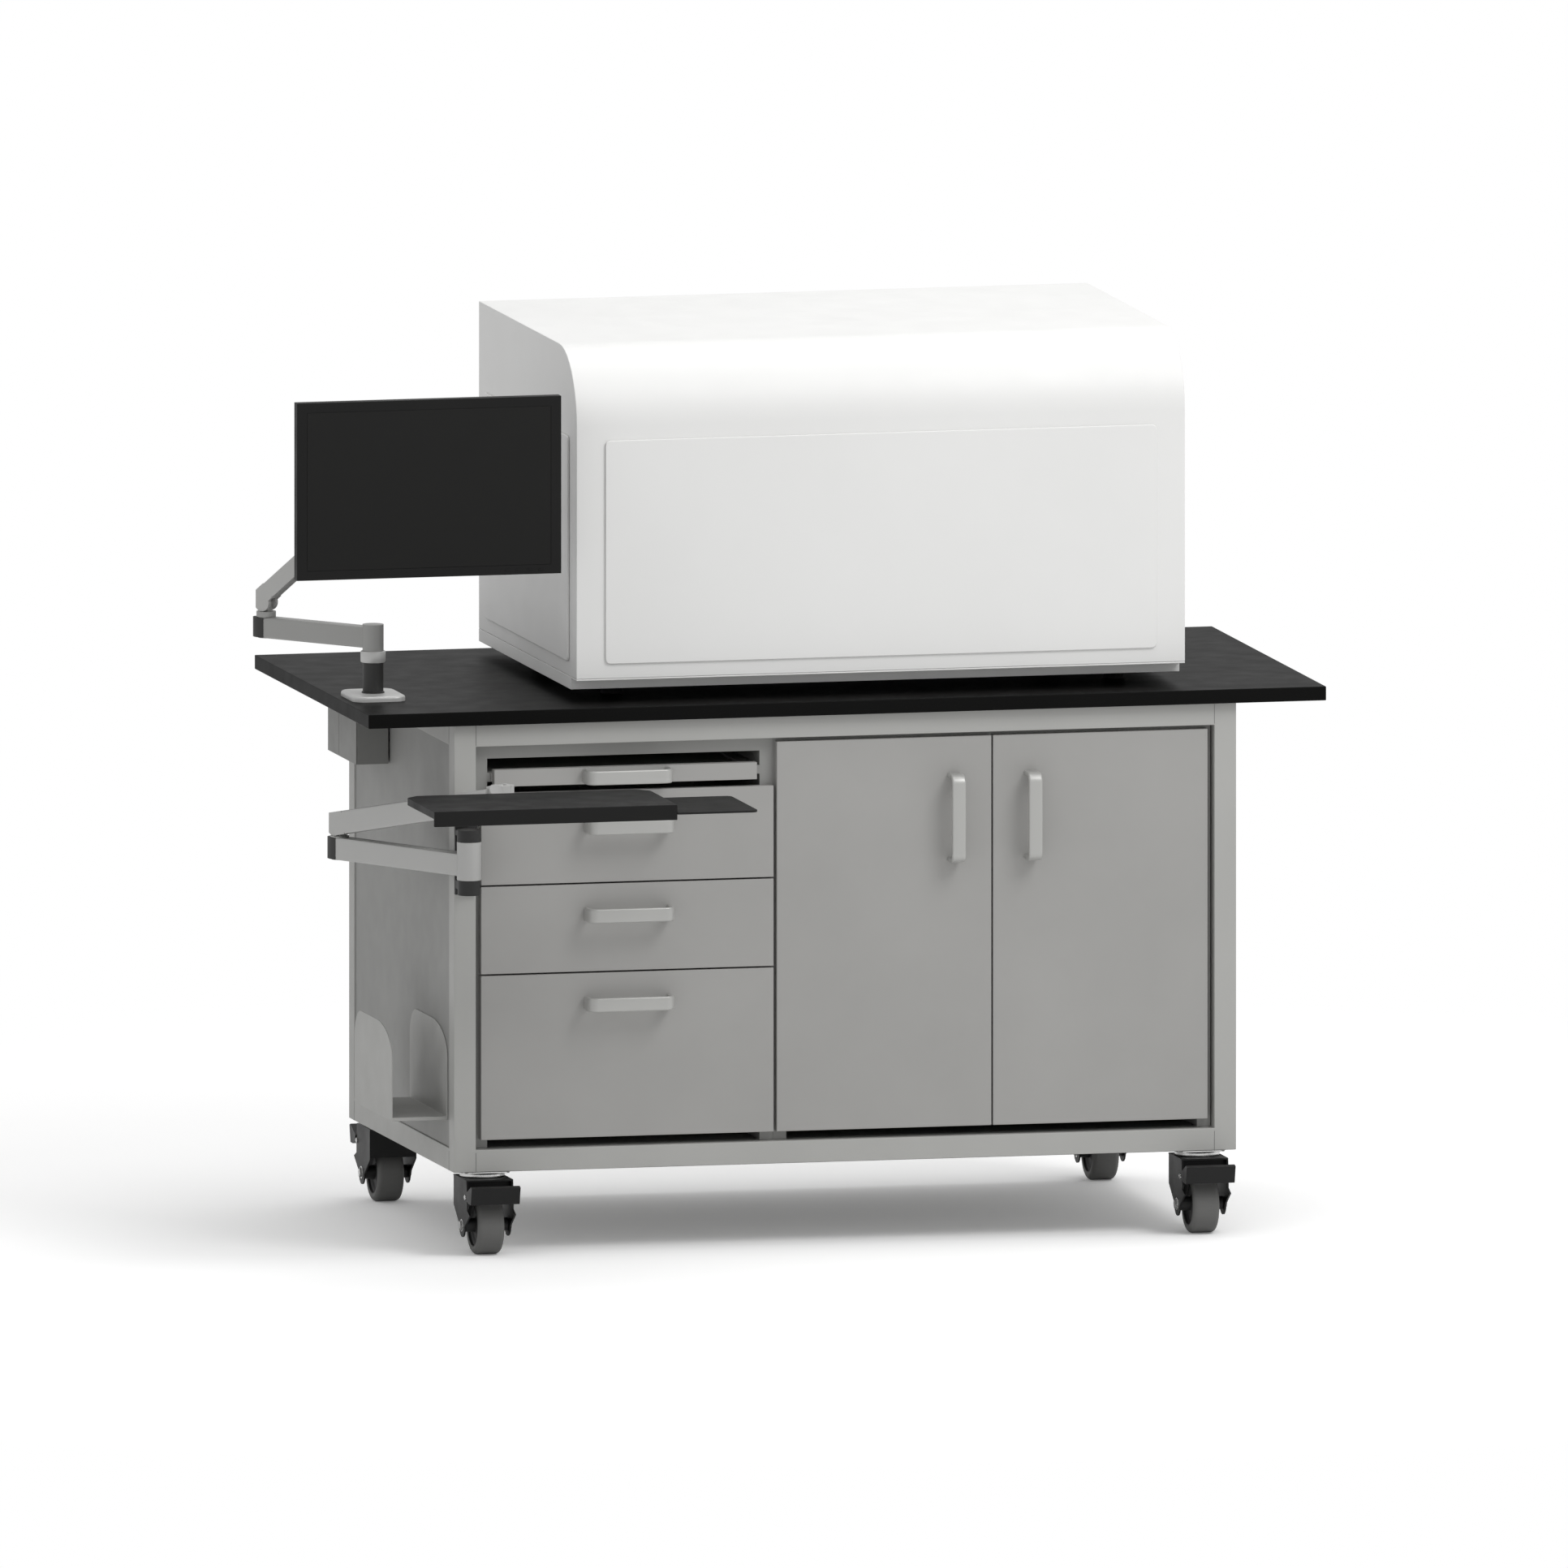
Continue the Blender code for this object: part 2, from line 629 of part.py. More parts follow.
def build_drawer_unit(root, runners):
    """Make the cabinet that carries the drawers, with their fixed runners on its sides."""
    solids = cabinet_solids(
        -CABINET_X, CABINET_SPLIT - SEAM / 2, BAY_LEFT, BAY_RIGHT,
        -CABINET_X, CABINET_SPLIT - SEAM / 2)
    make_object("drawer_unit", unite(solids + runners), BOARD_GREY, parent=root)


def hinge_arms():
    """Make the four hinge arms that reach from the cupboard's sides to the doors."""
    arms = []
    for wall, inward in ((CUPBOARD_LEFT, 1), (CUPBOARD_RIGHT, -1)):
        near = wall - inward * BOARD / 2
        far = wall + inward * HINGE_ARM_WIDTH
        for z in (FRONTS_BOTTOM + HINGE_END_DISTANCE, FRONTS_TOP - HINGE_END_DISTANCE):
            arms.append(alone(
                add_box,
                (min(near, far), FRONT_BACK + HINGE_CLEAR, z - HINGE_ARM_HEIGHT / 2),
                (max(near, far), FRONT_BACK + HINGE_ARM_LENGTH, z + HINGE_ARM_HEIGHT / 2),
            ))
    return arms


def build_cupboard(root):
    """Make the cupboard with its hinge arms, and its shelf."""
    solids = cabinet_solids(
        CABINET_SPLIT + SEAM / 2, CABINET_X, CUPBOARD_LEFT, CUPBOARD_RIGHT,
        CABINET_SPLIT + SEAM / 2, CABINET_X)
    make_object("cupboard_unit", unite(solids + hinge_arms()), BOARD_GREY, parent=root)
    shelf = bmesh.new()
    shelf_bottom = OPENING_BOTTOM + SHELF_HEIGHT
    add_box(
        shelf,
        (CUPBOARD_LEFT + SEAM, CABINET_FRONT + SHELF_SETBACK, shelf_bottom),
        (CUPBOARD_RIGHT - SEAM, CABINET_REAR - BACK_BOARD - SEAM, shelf_bottom + SHELF_THICKNESS),
    )
    make_object("cupboard_shelf", shelf, BOARD_GREY, parent=root)


def handle_outline():
    """Give a bow handle's outline as (along, out) points, feet on the face."""
    half = HANDLE_LENGTH / 2
    corner = HANDLE_REACH - HANDLE_BEND
    outer = (HANDLE_BEND, HANDLE_BEND)
    inner = (HANDLE_BEND - HANDLE_THICKNESS, HANDLE_BEND - HANDLE_THICKNESS)
    points = [(half, SEAM)]
    points += arc((half - HANDLE_BEND, corner), outer, 0, 90, 4)
    points += arc((HANDLE_BEND - half, corner), outer, 90, 180, 4)
    points += [(-half, SEAM), (HANDLE_THICKNESS - half, SEAM)]
    points += arc((HANDLE_BEND - half, corner), inner, 180, 90, 4)
    points += arc((half - HANDLE_BEND, corner), inner, 90, 0, 4)
    points.append((half - HANDLE_THICKNESS, SEAM))
    return points


def level_handle(centre_x, centre_z):
    """Make a level bow handle on the plane of the fronts."""
    handle = bmesh.new()
    outline = [(centre_x + along, FRONT_PLANE - out) for along, out in handle_outline()]
    add_prism(handle, outline, "z", centre_z - HANDLE_WIDTH / 2, centre_z + HANDLE_WIDTH / 2)
    return handle


def upright_handle(centre_x, centre_z):
    """Make an upright bow handle on the plane of the fronts."""
    handle = bmesh.new()
    outline = [(FRONT_PLANE - out, centre_z + along) for along, out in handle_outline()]
    add_prism(handle, outline, "x", centre_x - HANDLE_WIDTH / 2, centre_x + HANDLE_WIDTH / 2)
    return handle


def drawer_levels():
    """Give each drawer's name, front levels and handle drop, from the bottom up."""
    levels = []
    bottom = FRONTS_BOTTOM
    for name, height, drop in (
        ("drawer_bottom", BOTTOM_DRAWER_HEIGHT, LOWER_HANDLE_DROP),
        ("drawer_middle", MIDDLE_DRAWER_HEIGHT, LOWER_HANDLE_DROP),
        ("drawer_top", TOP_DRAWER_HEIGHT, TOP_HANDLE_DROP),
    ):
        levels.append((name, bottom, bottom + height, drop))
        bottom += height + FRONT_GAP
    return levels


def runner_pair(near_gap, far_gap, bottom, height, depth, front):
    """Make a runner for both sides of the bay, between two distances from its walls."""
    pair = []
    for wall, inward in ((BAY_LEFT, 1), (BAY_RIGHT, -1)):
        near = wall + inward * near_gap
        far = wall + inward * far_gap
        pair.append(alone(
            add_box, (min(near, far), front, bottom), (max(near, far), front + depth, bottom + height)))
    return pair


def fixed_runners(bottom, height, depth):
    """Make the pair of runners on the cabinet's sides."""
    return runner_pair(-BOARD / 2, RUNNER_THICKNESS, bottom, height, depth, CABINET_FRONT)


def moving_runners(bottom, height, depth, lap):
    """Make the pair of runners on a drawer's sides, let into them by a lap."""
    near = RUNNER_THICKNESS + RUN
    return runner_pair(near, BOX_CLEAR + lap, bottom, height, depth, FRONT_BACK + SEAM)


def build_drawers(root):
    """Make the three drawers, each a box with runners, a front and a handle."""
    channels = []
    centre_x = (-FRONTS_X + DRAWERS_RIGHT) / 2
    left = BAY_LEFT + BOX_CLEAR
    right = BAY_RIGHT - BOX_CLEAR
    near = FRONT_BACK + SEAM
    rear = near + BOX_DEPTH
    for name, bottom, top, drop in drawer_levels():
        origin = (centre_x, FRONT_PLANE, bottom)
        floor = bottom + BOX_LIFT
        rim = top - BOX_TOP_DROP
        runner_bottom = floor + RUNNER_LIFT
        channels += fixed_runners(runner_bottom, RUNNER_HEIGHT, BOX_DEPTH)

        solids = [alone(add_box, (left, near, floor), (right, rear, floor + BOX_FLOOR))]
        for y in (near, rear - BOX_WALL):
            solids.append(alone(add_box, (left, y, floor), (right, y + BOX_WALL, rim)))
        for x in (left, right - BOX_WALL):
            solids.append(alone(add_box, (x, near, floor), (x + BOX_WALL, rear, rim)))
        solids += moving_runners(runner_bottom, RUNNER_HEIGHT, BOX_DEPTH, BOX_WALL / 2)
        holder = make_object(name + "_box", about(unite(solids), origin), BOARD_GREY, origin, parent=root)

        front = bmesh.new()
        add_box(front, (-FRONTS_X, FRONT_PLANE, bottom), (DRAWERS_RIGHT, FRONT_BACK, top))
        make_object(name + "_front", about(front, origin), FRONT_GREY, parent=holder)
        handle = level_handle(centre_x, top - drop)
        make_object(name + "_handle", about(handle, origin), HANDLE_SATIN, parent=holder, round_piece=True)

    channels += build_pullout(root, DRAWERS_TOP + SHELF_FRONT_RISE)
    build_drawer_unit(root, channels)


def build_pullout(root, bottom):
    """Make the pull-out shelf above the drawers, and give back its fixed runners."""
    centre_x = (BAY_LEFT + BAY_RIGHT) / 2
    top = bottom + SHELF_FRONT_HEIGHT
    origin = (centre_x, FRONT_PLANE, bottom)
    runner_bottom = bottom + (SHELF_FRONT_HEIGHT - SHELF_RUNNER_HEIGHT) / 2
    near = FRONT_BACK + SEAM
    solids = [
        alone(
            add_box,
            (BAY_LEFT + SHELF_FRONT_SIDE_GAP, FRONT_PLANE, bottom),
            (BAY_RIGHT - SHELF_FRONT_SIDE_GAP, FRONT_BACK, top),
        ),
        alone(
            add_box,
            (BAY_LEFT + BOX_CLEAR, FRONT_BACK - FRONT_THICKNESS / 2, runner_bottom),
            (BAY_RIGHT - BOX_CLEAR, near + SHELF_BOARD_DEPTH, runner_bottom + SHELF_BOARD),
        ),
        *moving_runners(runner_bottom, SHELF_RUNNER_HEIGHT, SHELF_BOARD_DEPTH, BOARD / 2),
    ]
    holder = make_object("pullout_shelf", about(unite(solids), origin), FRONT_GREY, origin, parent=root)
    handle = level_handle(centre_x, (bottom + top) / 2)
    make_object("pullout_handle", about(handle, origin), HANDLE_SATIN, parent=holder, round_piece=True)
    return fixed_runners(runner_bottom, SHELF_RUNNER_HEIGHT, SHELF_BOARD_DEPTH)


def build_doors(root):
    """Make the two doors, their handles and the hinge arms that carry them."""
    meeting = (DOORS_LEFT + FRONTS_X) / 2
    handle_z = FRONTS_TOP - DOOR_HANDLE_DROP
    hinge_y = FRONT_PLANE + HINGE_INSET
    doors = (
        ("door_left", DOORS_LEFT, meeting - FRONT_GAP / 2, DOORS_LEFT + HINGE_INSET, -1),
        ("door_right", meeting + FRONT_GAP / 2, FRONTS_X, FRONTS_X - HINGE_INSET, 1),
    )
    for name, left, right, hinge_x, side in doors:
        origin = (hinge_x, hinge_y, FRONTS_BOTTOM)
        leaf = bmesh.new()
        add_box(leaf, (left, FRONT_PLANE, FRONTS_BOTTOM), (right, FRONT_BACK, FRONTS_TOP))
        door = make_object(name, about(leaf, origin), FRONT_GREY, origin, parent=root)
        handle = upright_handle(meeting + side * DOOR_HANDLE_INSET, handle_z)
        make_object(name + "_handle", about(handle, origin), HANDLE_SATIN, parent=door, round_piece=True)


def build_holder(root):
    """Make the bent sheet that holds a computer on the left side panel."""
    inner = -FRAME_X + PANEL_RECESS - SEAM
    outer = inner - HOLDER_WIDTH
    front = FRAME_FRONT + HOLDER_FRONT
    rear = front + HOLDER_DEPTH
    bottom = OPENING_BOTTOM + HOLDER_LIFT
    top = bottom + HOLDER_HEIGHT
    outline = [(front, bottom), (rear, bottom)]
    outline += arc(
        (rear - HOLDER_REAR_RADIUS, top - HOLDER_REAR_RADIUS),
        (HOLDER_REAR_RADIUS, HOLDER_REAR_RADIUS), 0, 90, 6)
    outline += arc(
        (front + HOLDER_SLOPE_LENGTH, top - HOLDER_SLOPE_DROP),
        (HOLDER_SLOPE_LENGTH, HOLDER_SLOPE_DROP), 90, 180, 8)
    solids = []
    for x in (outer, inner - HOLDER_SHEET):
        plate = bmesh.new()
        add_prism(plate, outline, "x", x, x + HOLDER_SHEET)
        solids.append(plate)
    floor = bmesh.new()
    add_box(
        floor,
        (outer + HOLDER_SHEET / 2, front, bottom),
        (inner - HOLDER_SHEET / 2, rear, bottom + HOLDER_FLOOR),
    )
    solids.append(floor)
    make_object("computer_holder", unite(solids), FRAME_GREY, parent=root)


def build_outlet_box(root):
    """Make the service box under the worktop's left overhang, and its lid."""
    right = -FRAME_X - SEAM
    left = right - OUTLET_WIDTH + OUTLET_LID + SEAM
    front = FRAME_FRONT + OUTLET_SETBACK
    rear = front + OUTLET_DEPTH
    bottom = FRAME_TOP - OUTLET_HEIGHT
    box = alone(add_box, (left, front, bottom), (right, rear, FRAME_TOP))
    make_object("outlet_box", box, FRAME_GREY, parent=root)
    lid = alone(add_box, (left - SEAM - OUTLET_LID, front, bottom), (left - SEAM, rear, FRAME_TOP))
    make_object("outlet_box_lid", lid, FRAME_GREY, parent=root)


def cover_profile(thickness):
    """Give the cover's side outline, a sheet thickness inside its outer face."""
    front = -ENCLOSURE_DEPTH / 2 + thickness
    rear = ENCLOSURE_DEPTH / 2 - thickness
    top = COVER_BOTTOM + COVER_HEIGHT - thickness
    bend = COVER_BEND - thickness
    outline = [(rear, COVER_BOTTOM), (rear, top)]
    outline += arc((front + bend, top - bend), (bend, bend), 90, 180, 10)
    outline.append((front, COVER_BOTTOM))
    return outline


def build_enclosure_base(root):
    """Make the plinth: a top plate, a skirt that is set back in front, and four feet."""
    half_depth = ENCLOSURE_DEPTH / 2
    front = -half_depth + PLINTH_SETBACK
    top = ENCLOSURE_BOTTOM + PLINTH_HEIGHT
    under = top - COVER_SHEET
    solids = [alone(add_box, (ENCLOSURE_LEFT, -half_depth, under), (ENCLOSURE_RIGHT, half_depth, top))]
    skirt_top = top - COVER_SHEET / 2
    for y in (front, half_depth - COVER_SHEET):
        solids.append(alone(
            add_box, (ENCLOSURE_LEFT, y, ENCLOSURE_BOTTOM), (ENCLOSURE_RIGHT, y + COVER_SHEET, skirt_top)))
    for x in (ENCLOSURE_LEFT, ENCLOSURE_RIGHT - COVER_SHEET):
        solids.append(alone(
            add_box, (x, front, ENCLOSURE_BOTTOM), (x + COVER_SHEET, half_depth, skirt_top)))
    for x in (ENCLOSURE_LEFT + ENCLOSURE_FOOT_INSET, ENCLOSURE_RIGHT - ENCLOSURE_FOOT_INSET):
        for y in (front + ENCLOSURE_FOOT_INSET, half_depth - ENCLOSURE_FOOT_INSET):
            solids.append(alone(
                add_rod, ENCLOSURE_FOOT_RADIUS, "z", (x, y, 0), WORKTOP_TOP + SEAM, skirt_top, sides=16))
    make_object("enclosure_base", unite(solids), ENCLOSURE_WHITE, parent=root)


def build_enclosure_cover(root):
    """Make the cover: one sheet bent over the front, the top and the back, and two ends."""
    solids = []
    for x in (ENCLOSURE_LEFT, ENCLOSURE_RIGHT - COVER_SHEET):
        solids.append(alone(add_prism, cover_profile(0), "x", x, x + COVER_SHEET))
    wrap = cover_profile(0) + cover_profile(COVER_SHEET)[::-1]
    lap = COVER_SHEET / 2
    solids.append(alone(add_prism, wrap, "x", ENCLOSURE_LEFT + lap, ENCLOSURE_RIGHT - lap))
    make_object("enclosure_cover", unite(solids), ENCLOSURE_WHITE, parent=root, round_piece=True)


def build_access_panels(root):
    """Make the three raised access panels on the cover."""
    half_depth = ENCLOSURE_DEPTH / 2
    bottom = COVER_BOTTOM + ACCESS_LIFT
    front_outline = rounded(
        ENCLOSURE_LEFT + FRONT_ACCESS_MARGIN, ENCLOSURE_RIGHT - FRONT_ACCESS_MARGIN,
        bottom, bottom + FRONT_ACCESS_HEIGHT, ACCESS_CORNER)
    side_outline = rounded(
        SIDE_ACCESS_MARGIN - half_depth, half_depth - SIDE_ACCESS_MARGIN,
        bottom, bottom + SIDE_ACCESS_HEIGHT, ACCESS_CORNER)
    for name, outline, axis, face in (
        ("access_panel_front", front_outline, "y", -half_depth),
        ("access_panel_left", side_outline, "x", ENCLOSURE_LEFT),
        ("access_panel_right", side_outline, "x", ENCLOSURE_RIGHT),
    ):
        side = 1 if name.endswith("right") else -1
        panel = alone(add_prism, outline, axis, face + side * SEAM, face + side * (SEAM + ACCESS_PROUD))
        make_object(name, panel, ENCLOSURE_WHITE, parent=root)


def caster_sites():
    """Give each caster's name, place and turn."""
    x = FRAME_X - CASTER_INSET_X
    front = FRAME_FRONT + CASTER_INSET_FRONT
    rear = FRAME_REAR - CASTER_INSET_REAR
    return (
        ("front_left", -x, front, 0.0),
        ("front_right", x, front, 0.0),
        ("rear_left", -x, rear, math.pi),
        ("rear_right", x, rear, math.pi),
    )


def fork_solid():
    """Make a fork about its swivel axis, trailing to -Y, with its axle, bolts and races."""
    crown_top = CASTER_HEIGHT - CASTER_PLATE_THICKNESS - RUN - RACE_HEIGHT
    half = FORK_WIDTH / 2
    crown = bmesh.new()
    crown_front = -PEDAL_PIVOT_OUT - EAR_RADIUS / 2
    add_box(
        crown, (-half, crown_front, crown_top - FORK_SHEET), (half, CASTER_PLATE / 2, crown_top))
    legs = []
    back = CASTER_PLATE / 2 - FORK_BACK_SETBACK
    for x in (-half, half - FORK_SHEET):
        leg = bmesh.new()
        outline = [
            (crown_front, crown_top - FORK_SHEET / 2), (back, crown_top - FORK_SHEET / 2),
            (back, FORK_BACK_BOTTOM)]
        outline += arc((-CASTER_TRAIL, WHEEL_RADIUS), (LEG_REACH, LEG_REACH), 0, -180, 8)
        outline += [
            (-PEDAL_PIVOT_OUT - LEG_FRONT_REACH, LEG_FRONT_HEIGHT),
            (-PEDAL_PIVOT_OUT - EAR_RADIUS, LEG_FRONT_HEIGHT + EAR_RADIUS),
            (-PEDAL_PIVOT_OUT - EAR_RADIUS, PEDAL_PIVOT_HEIGHT + SEAM)]
        add_prism(leg, outline, "x", x, x + FORK_SHEET)
        legs.append(leg)
    solids = [crown, *legs]
    front_wall = EAR_RADIUS + FORK_SHEET / 2 - PEDAL_PIVOT_OUT
    back_wall = back - FORK_SHEET - SEAM
    reach_across = half - FORK_SHEET / 2
    for near, low in ((front_wall, FORK_SKIRT_BOTTOM), (back_wall, FORK_BACK_BOTTOM + FORK_SHEET)):
        solids.append(alone(
            add_box,
            (-reach_across, near, low),
            (reach_across, near + FORK_SHEET, crown_top - FORK_SHEET / 2)))
    axle = (0, -CASTER_TRAIL, WHEEL_RADIUS)
    pivot = (0, -PEDAL_PIVOT_OUT, PEDAL_PIVOT_HEIGHT)
    lap = FORK_SHEET / 2
    axle_end = half - lap / 2
    solids.append(alone(add_rod, AXLE_RADIUS, "x", axle, -axle_end, axle_end, sides=12))
    for side in (-1, 1):
        near = side * (half - lap)
        far = side * (half + BOLT_HEIGHT)
        solids.append(alone(add_rod, BOLT_RADIUS, "x", axle, near, far, sides=6))
        rivet_top = side * (half + BOLT_HEIGHT / 2)
        solids.append(alone(add_rod, BOLT_RADIUS / 2, "x", pivot, near, rivet_top, sides=10))
    race_top = crown_top + RACE_HEIGHT
    solids.append(alone(add_rod, RACE_RADIUS, "z", (0, 0, 0), crown_top - lap, race_top))
    return unite(solids)


def wheel_solid():
    """Make a wheel about its axle: tread with round shoulders, sunk disc and long hub."""
    half = WHEEL_WIDTH / 2
    disc = half - HUB_RECESS
    rim = WHEEL_RADIUS - TREAD_DEPTH
    hub = FORK_WIDTH / 2 - FORK_SHEET - RUN
    bore = AXLE_RADIUS + SEAM
    shoulder = arc(
        (WHEEL_RADIUS - TREAD_ROUNDING, half - TREAD_ROUNDING),
        (TREAD_ROUNDING, TREAD_ROUNDING), 90, 0, 3)
    right_half = [(bore, hub), (HUB_RADIUS, hub), (HUB_RADIUS, disc), (rim, disc), (rim, half), *shoulder]
    left_half = [(radius, -height) for radius, height in reversed(right_half)]
    wheel = bmesh.new()
    add_turned(wheel, right_half + left_half, "x", (0, 0, 0), bored=True, sides=20)
    return wheel


def pedal_solid():
    """Make a brake pedal about its pivot: a broad foot plate in front and two ears."""
    side = FORK_WIDTH / 2 - FORK_SHEET - RUN
    out = -EAR_RADIUS - RUN
    tip = -PEDAL_LENGTH
    ear_outline = arc((0, 0), (EAR_RADIUS, EAR_RADIUS), 90, -90, 6)
    ear_outline += [(out - EAR_RADIUS, -EAR_RADIUS / 2), (out - EAR_RADIUS, EAR_RADIUS)]
    foot = bmesh.new()
    foot_outline = [
        (out, EAR_RADIUS * 1.1),
        (tip + EAR_RADIUS, PEDAL_LIP),
        (tip, PEDAL_LIP - EAR_RADIUS / 3),
        (tip + EAR_RADIUS, -PEDAL_DROP),
        (-PEDAL_LENGTH / 2, -PEDAL_DROP),
        (out - EAR_RADIUS / 2, -EAR_RADIUS / 1.6),
    ]
    add_prism(foot, foot_outline, "x", -PEDAL_WIDTH / 2, PEDAL_WIDTH / 2)
    solids = [foot]
    for low, high in ((-side, PEDAL_EAR - side), (side - PEDAL_EAR, side)):
        ear = bmesh.new()
        add_prism(ear, ear_outline, "x", low, high)
        solids.append(ear)
    return unite(solids)


def build_casters(root):
    """Make four braked swivel casters under the frame's caster plates."""
    meshes = {}
    for key, solid in (("fork", fork_solid()), ("wheel", wheel_solid()), ("pedal", pedal_solid())):
        bmesh.ops.recalc_face_normals(solid, faces=solid.faces)
        meshes[key] = bpy.data.meshes.new("caster_" + key)
        solid.to_mesh(meshes[key])
        solid.free()
    for site, x, y, turn in caster_sites():
        fork = hang_mesh(
            "caster_fork_" + site, meshes["fork"], CASTER_BLACK, (x, y, 0), (0, 0, turn), root, True)
        hang_mesh(
            "caster_wheel_" + site, meshes["wheel"], TREAD_GREY,
            (0, -CASTER_TRAIL, WHEEL_RADIUS), (0, 0, 0), fork, True)
        hang_mesh(
            "caster_pedal_" + site, meshes["pedal"], CASTER_BLACK,
            (0, -PEDAL_PIVOT_OUT, PEDAL_PIVOT_HEIGHT), (0, 0, 0), fork)


def bar_outline(height, middle):
    """Give the section of an arm as (across, up) points, with its middle at a level."""
    low = middle - height / 2
    return rounded(-ARM_WIDTH / 2, ARM_WIDTH / 2, low, low + height, ARM_CORNER, 2)


def lower_arm_solid(length, hub_radius, hub_height, arm_height, drop=0.0):
    """Make a lower arm about its post: a hub, a level bar to the elbow and a round end."""
    hub = bmesh.new()
    add_rod(hub, hub_radius, "z", (0, 0, 0), 0, hub_height)
    middle = hub_height / 2 - drop
    bar = bmesh.new()
    add_prism(bar, bar_outline(arm_height, middle), "x", 0, length)
    end = bmesh.new()
    add_rod(end, ARM_WIDTH / 2, "z", (length, 0, 0), middle - arm_height / 2, middle + arm_height / 2)
    return unite([hub, bar, end])


def cheek_outline(low, radius, steps=8):
    """Give the outline of an upright with a round head as (along, up) points about its pivot."""
    return [(-radius, low), (radius, low)] + arc((0, 0), (radius, radius), 0, 180, steps)


def cheek_sides():
    """Give the two ranges across the arm that the clevis cheeks fill."""
    inner = TONGUE_WIDTH / 2 + RUN
    return ((-inner - CHEEK_WIDTH, -inner), (inner, inner + CHEEK_WIDTH))


def elbow_solid(rise, height):
    """Make an elbow about its lift pivot: a round foot under an upright tongue."""
    foot = bmesh.new()
    add_rod(foot, ELBOW_RADIUS, "z", (0, 0, 0), -rise, height - rise)
    tongue = bmesh.new()
    outline = cheek_outline(height / 2 - rise, ELBOW_TONGUE_RADIUS)
    add_prism(tongue, outline, "y", -TONGUE_WIDTH / 2, TONGUE_WIDTH / 2)
    return unite([foot, tongue])


def arm_root(pitch, top, under, foot, inward):
    """Make the hood at an upper arm's root: two cheeks, a top wall and an upright back wall."""
    rise = math.radians(pitch)
    corner = (top - ROOT_RADIUS * math.sin(rise)) / math.cos(rise)

    def along_arm(level, height):
        return (
            level * math.cos(rise) + height * math.sin(rise),
            height * math.cos(rise) - level * math.sin(rise))

    start = 180 + math.degrees(math.acos(ROOT_RADIUS / foot)) - pitch
    end = 360 + math.degrees(math.asin(under / foot))
    outline = arc((0, 0), (foot, foot), start, end, 10)
    outline += [(inward, under), (inward, top), along_arm(-ROOT_RADIUS, corner)]
    solids = []
    for low, high in cheek_sides():
        cheek = bmesh.new()
        add_prism(cheek, outline, "y", low, high)
        solids.append(cheek)
    half = TONGUE_WIDTH / 2 + RUN + CHEEK_WIDTH / 2
    back = SEAM - ROOT_RADIUS
    first = along_arm(back, corner)[0] + SEAM
    top_wall = [
        (first, top - ROOT_WALL), (inward, top - ROOT_WALL), (inward, top - SEAM), (first, top - SEAM)]
    back_wall = [
        along_arm(back, ELBOW_TONGUE_RADIUS + SEAM), along_arm(back + ROOT_WALL, ELBOW_TONGUE_RADIUS + SEAM),
        along_arm(back + ROOT_WALL, corner - ROOT_WALL / 2), along_arm(back, corner - SEAM * 2)]
    for wall in (top_wall, back_wall):
        solids.append(alone(add_prism, wall, "y", -half, half))
    return solids


def upper_arm_solid(length, height, pitch, lift, foot, knuckle, sag=0.0):
    """Make an upper arm along +X about its lift pivot: a hood at its root, a tongue at its end."""
    shoulder = CHEEK_RADIUS + height / 6
    bar = alone(add_prism, bar_outline(height, lift), "x", shoulder, length - shoulder)
    root = arm_root(pitch, lift + height / 2, lift - height / 2, foot, shoulder + ARM_CORNER)
    arm = unite([bar, *root])
    for vertex in arm.verts:
        vertex.co.z -= vertex.co.x * sag / length
    outline = arc((length, 0), (knuckle, knuckle), -90, 90, 8)
    inward = length - shoulder - ARM_CORNER
    outline += [(inward, outline[-1][1]), (inward, outline[0][1])]
    tongue = alone(add_prism, outline, "y", -TONGUE_WIDTH / 2, TONGUE_WIDTH / 2)
    return unite([arm, tongue])


def arm_turn(yaw, pitch=0.0):
    """Give the rotation of a piece built along +X."""
    return (0, -math.radians(pitch), math.radians(yaw))


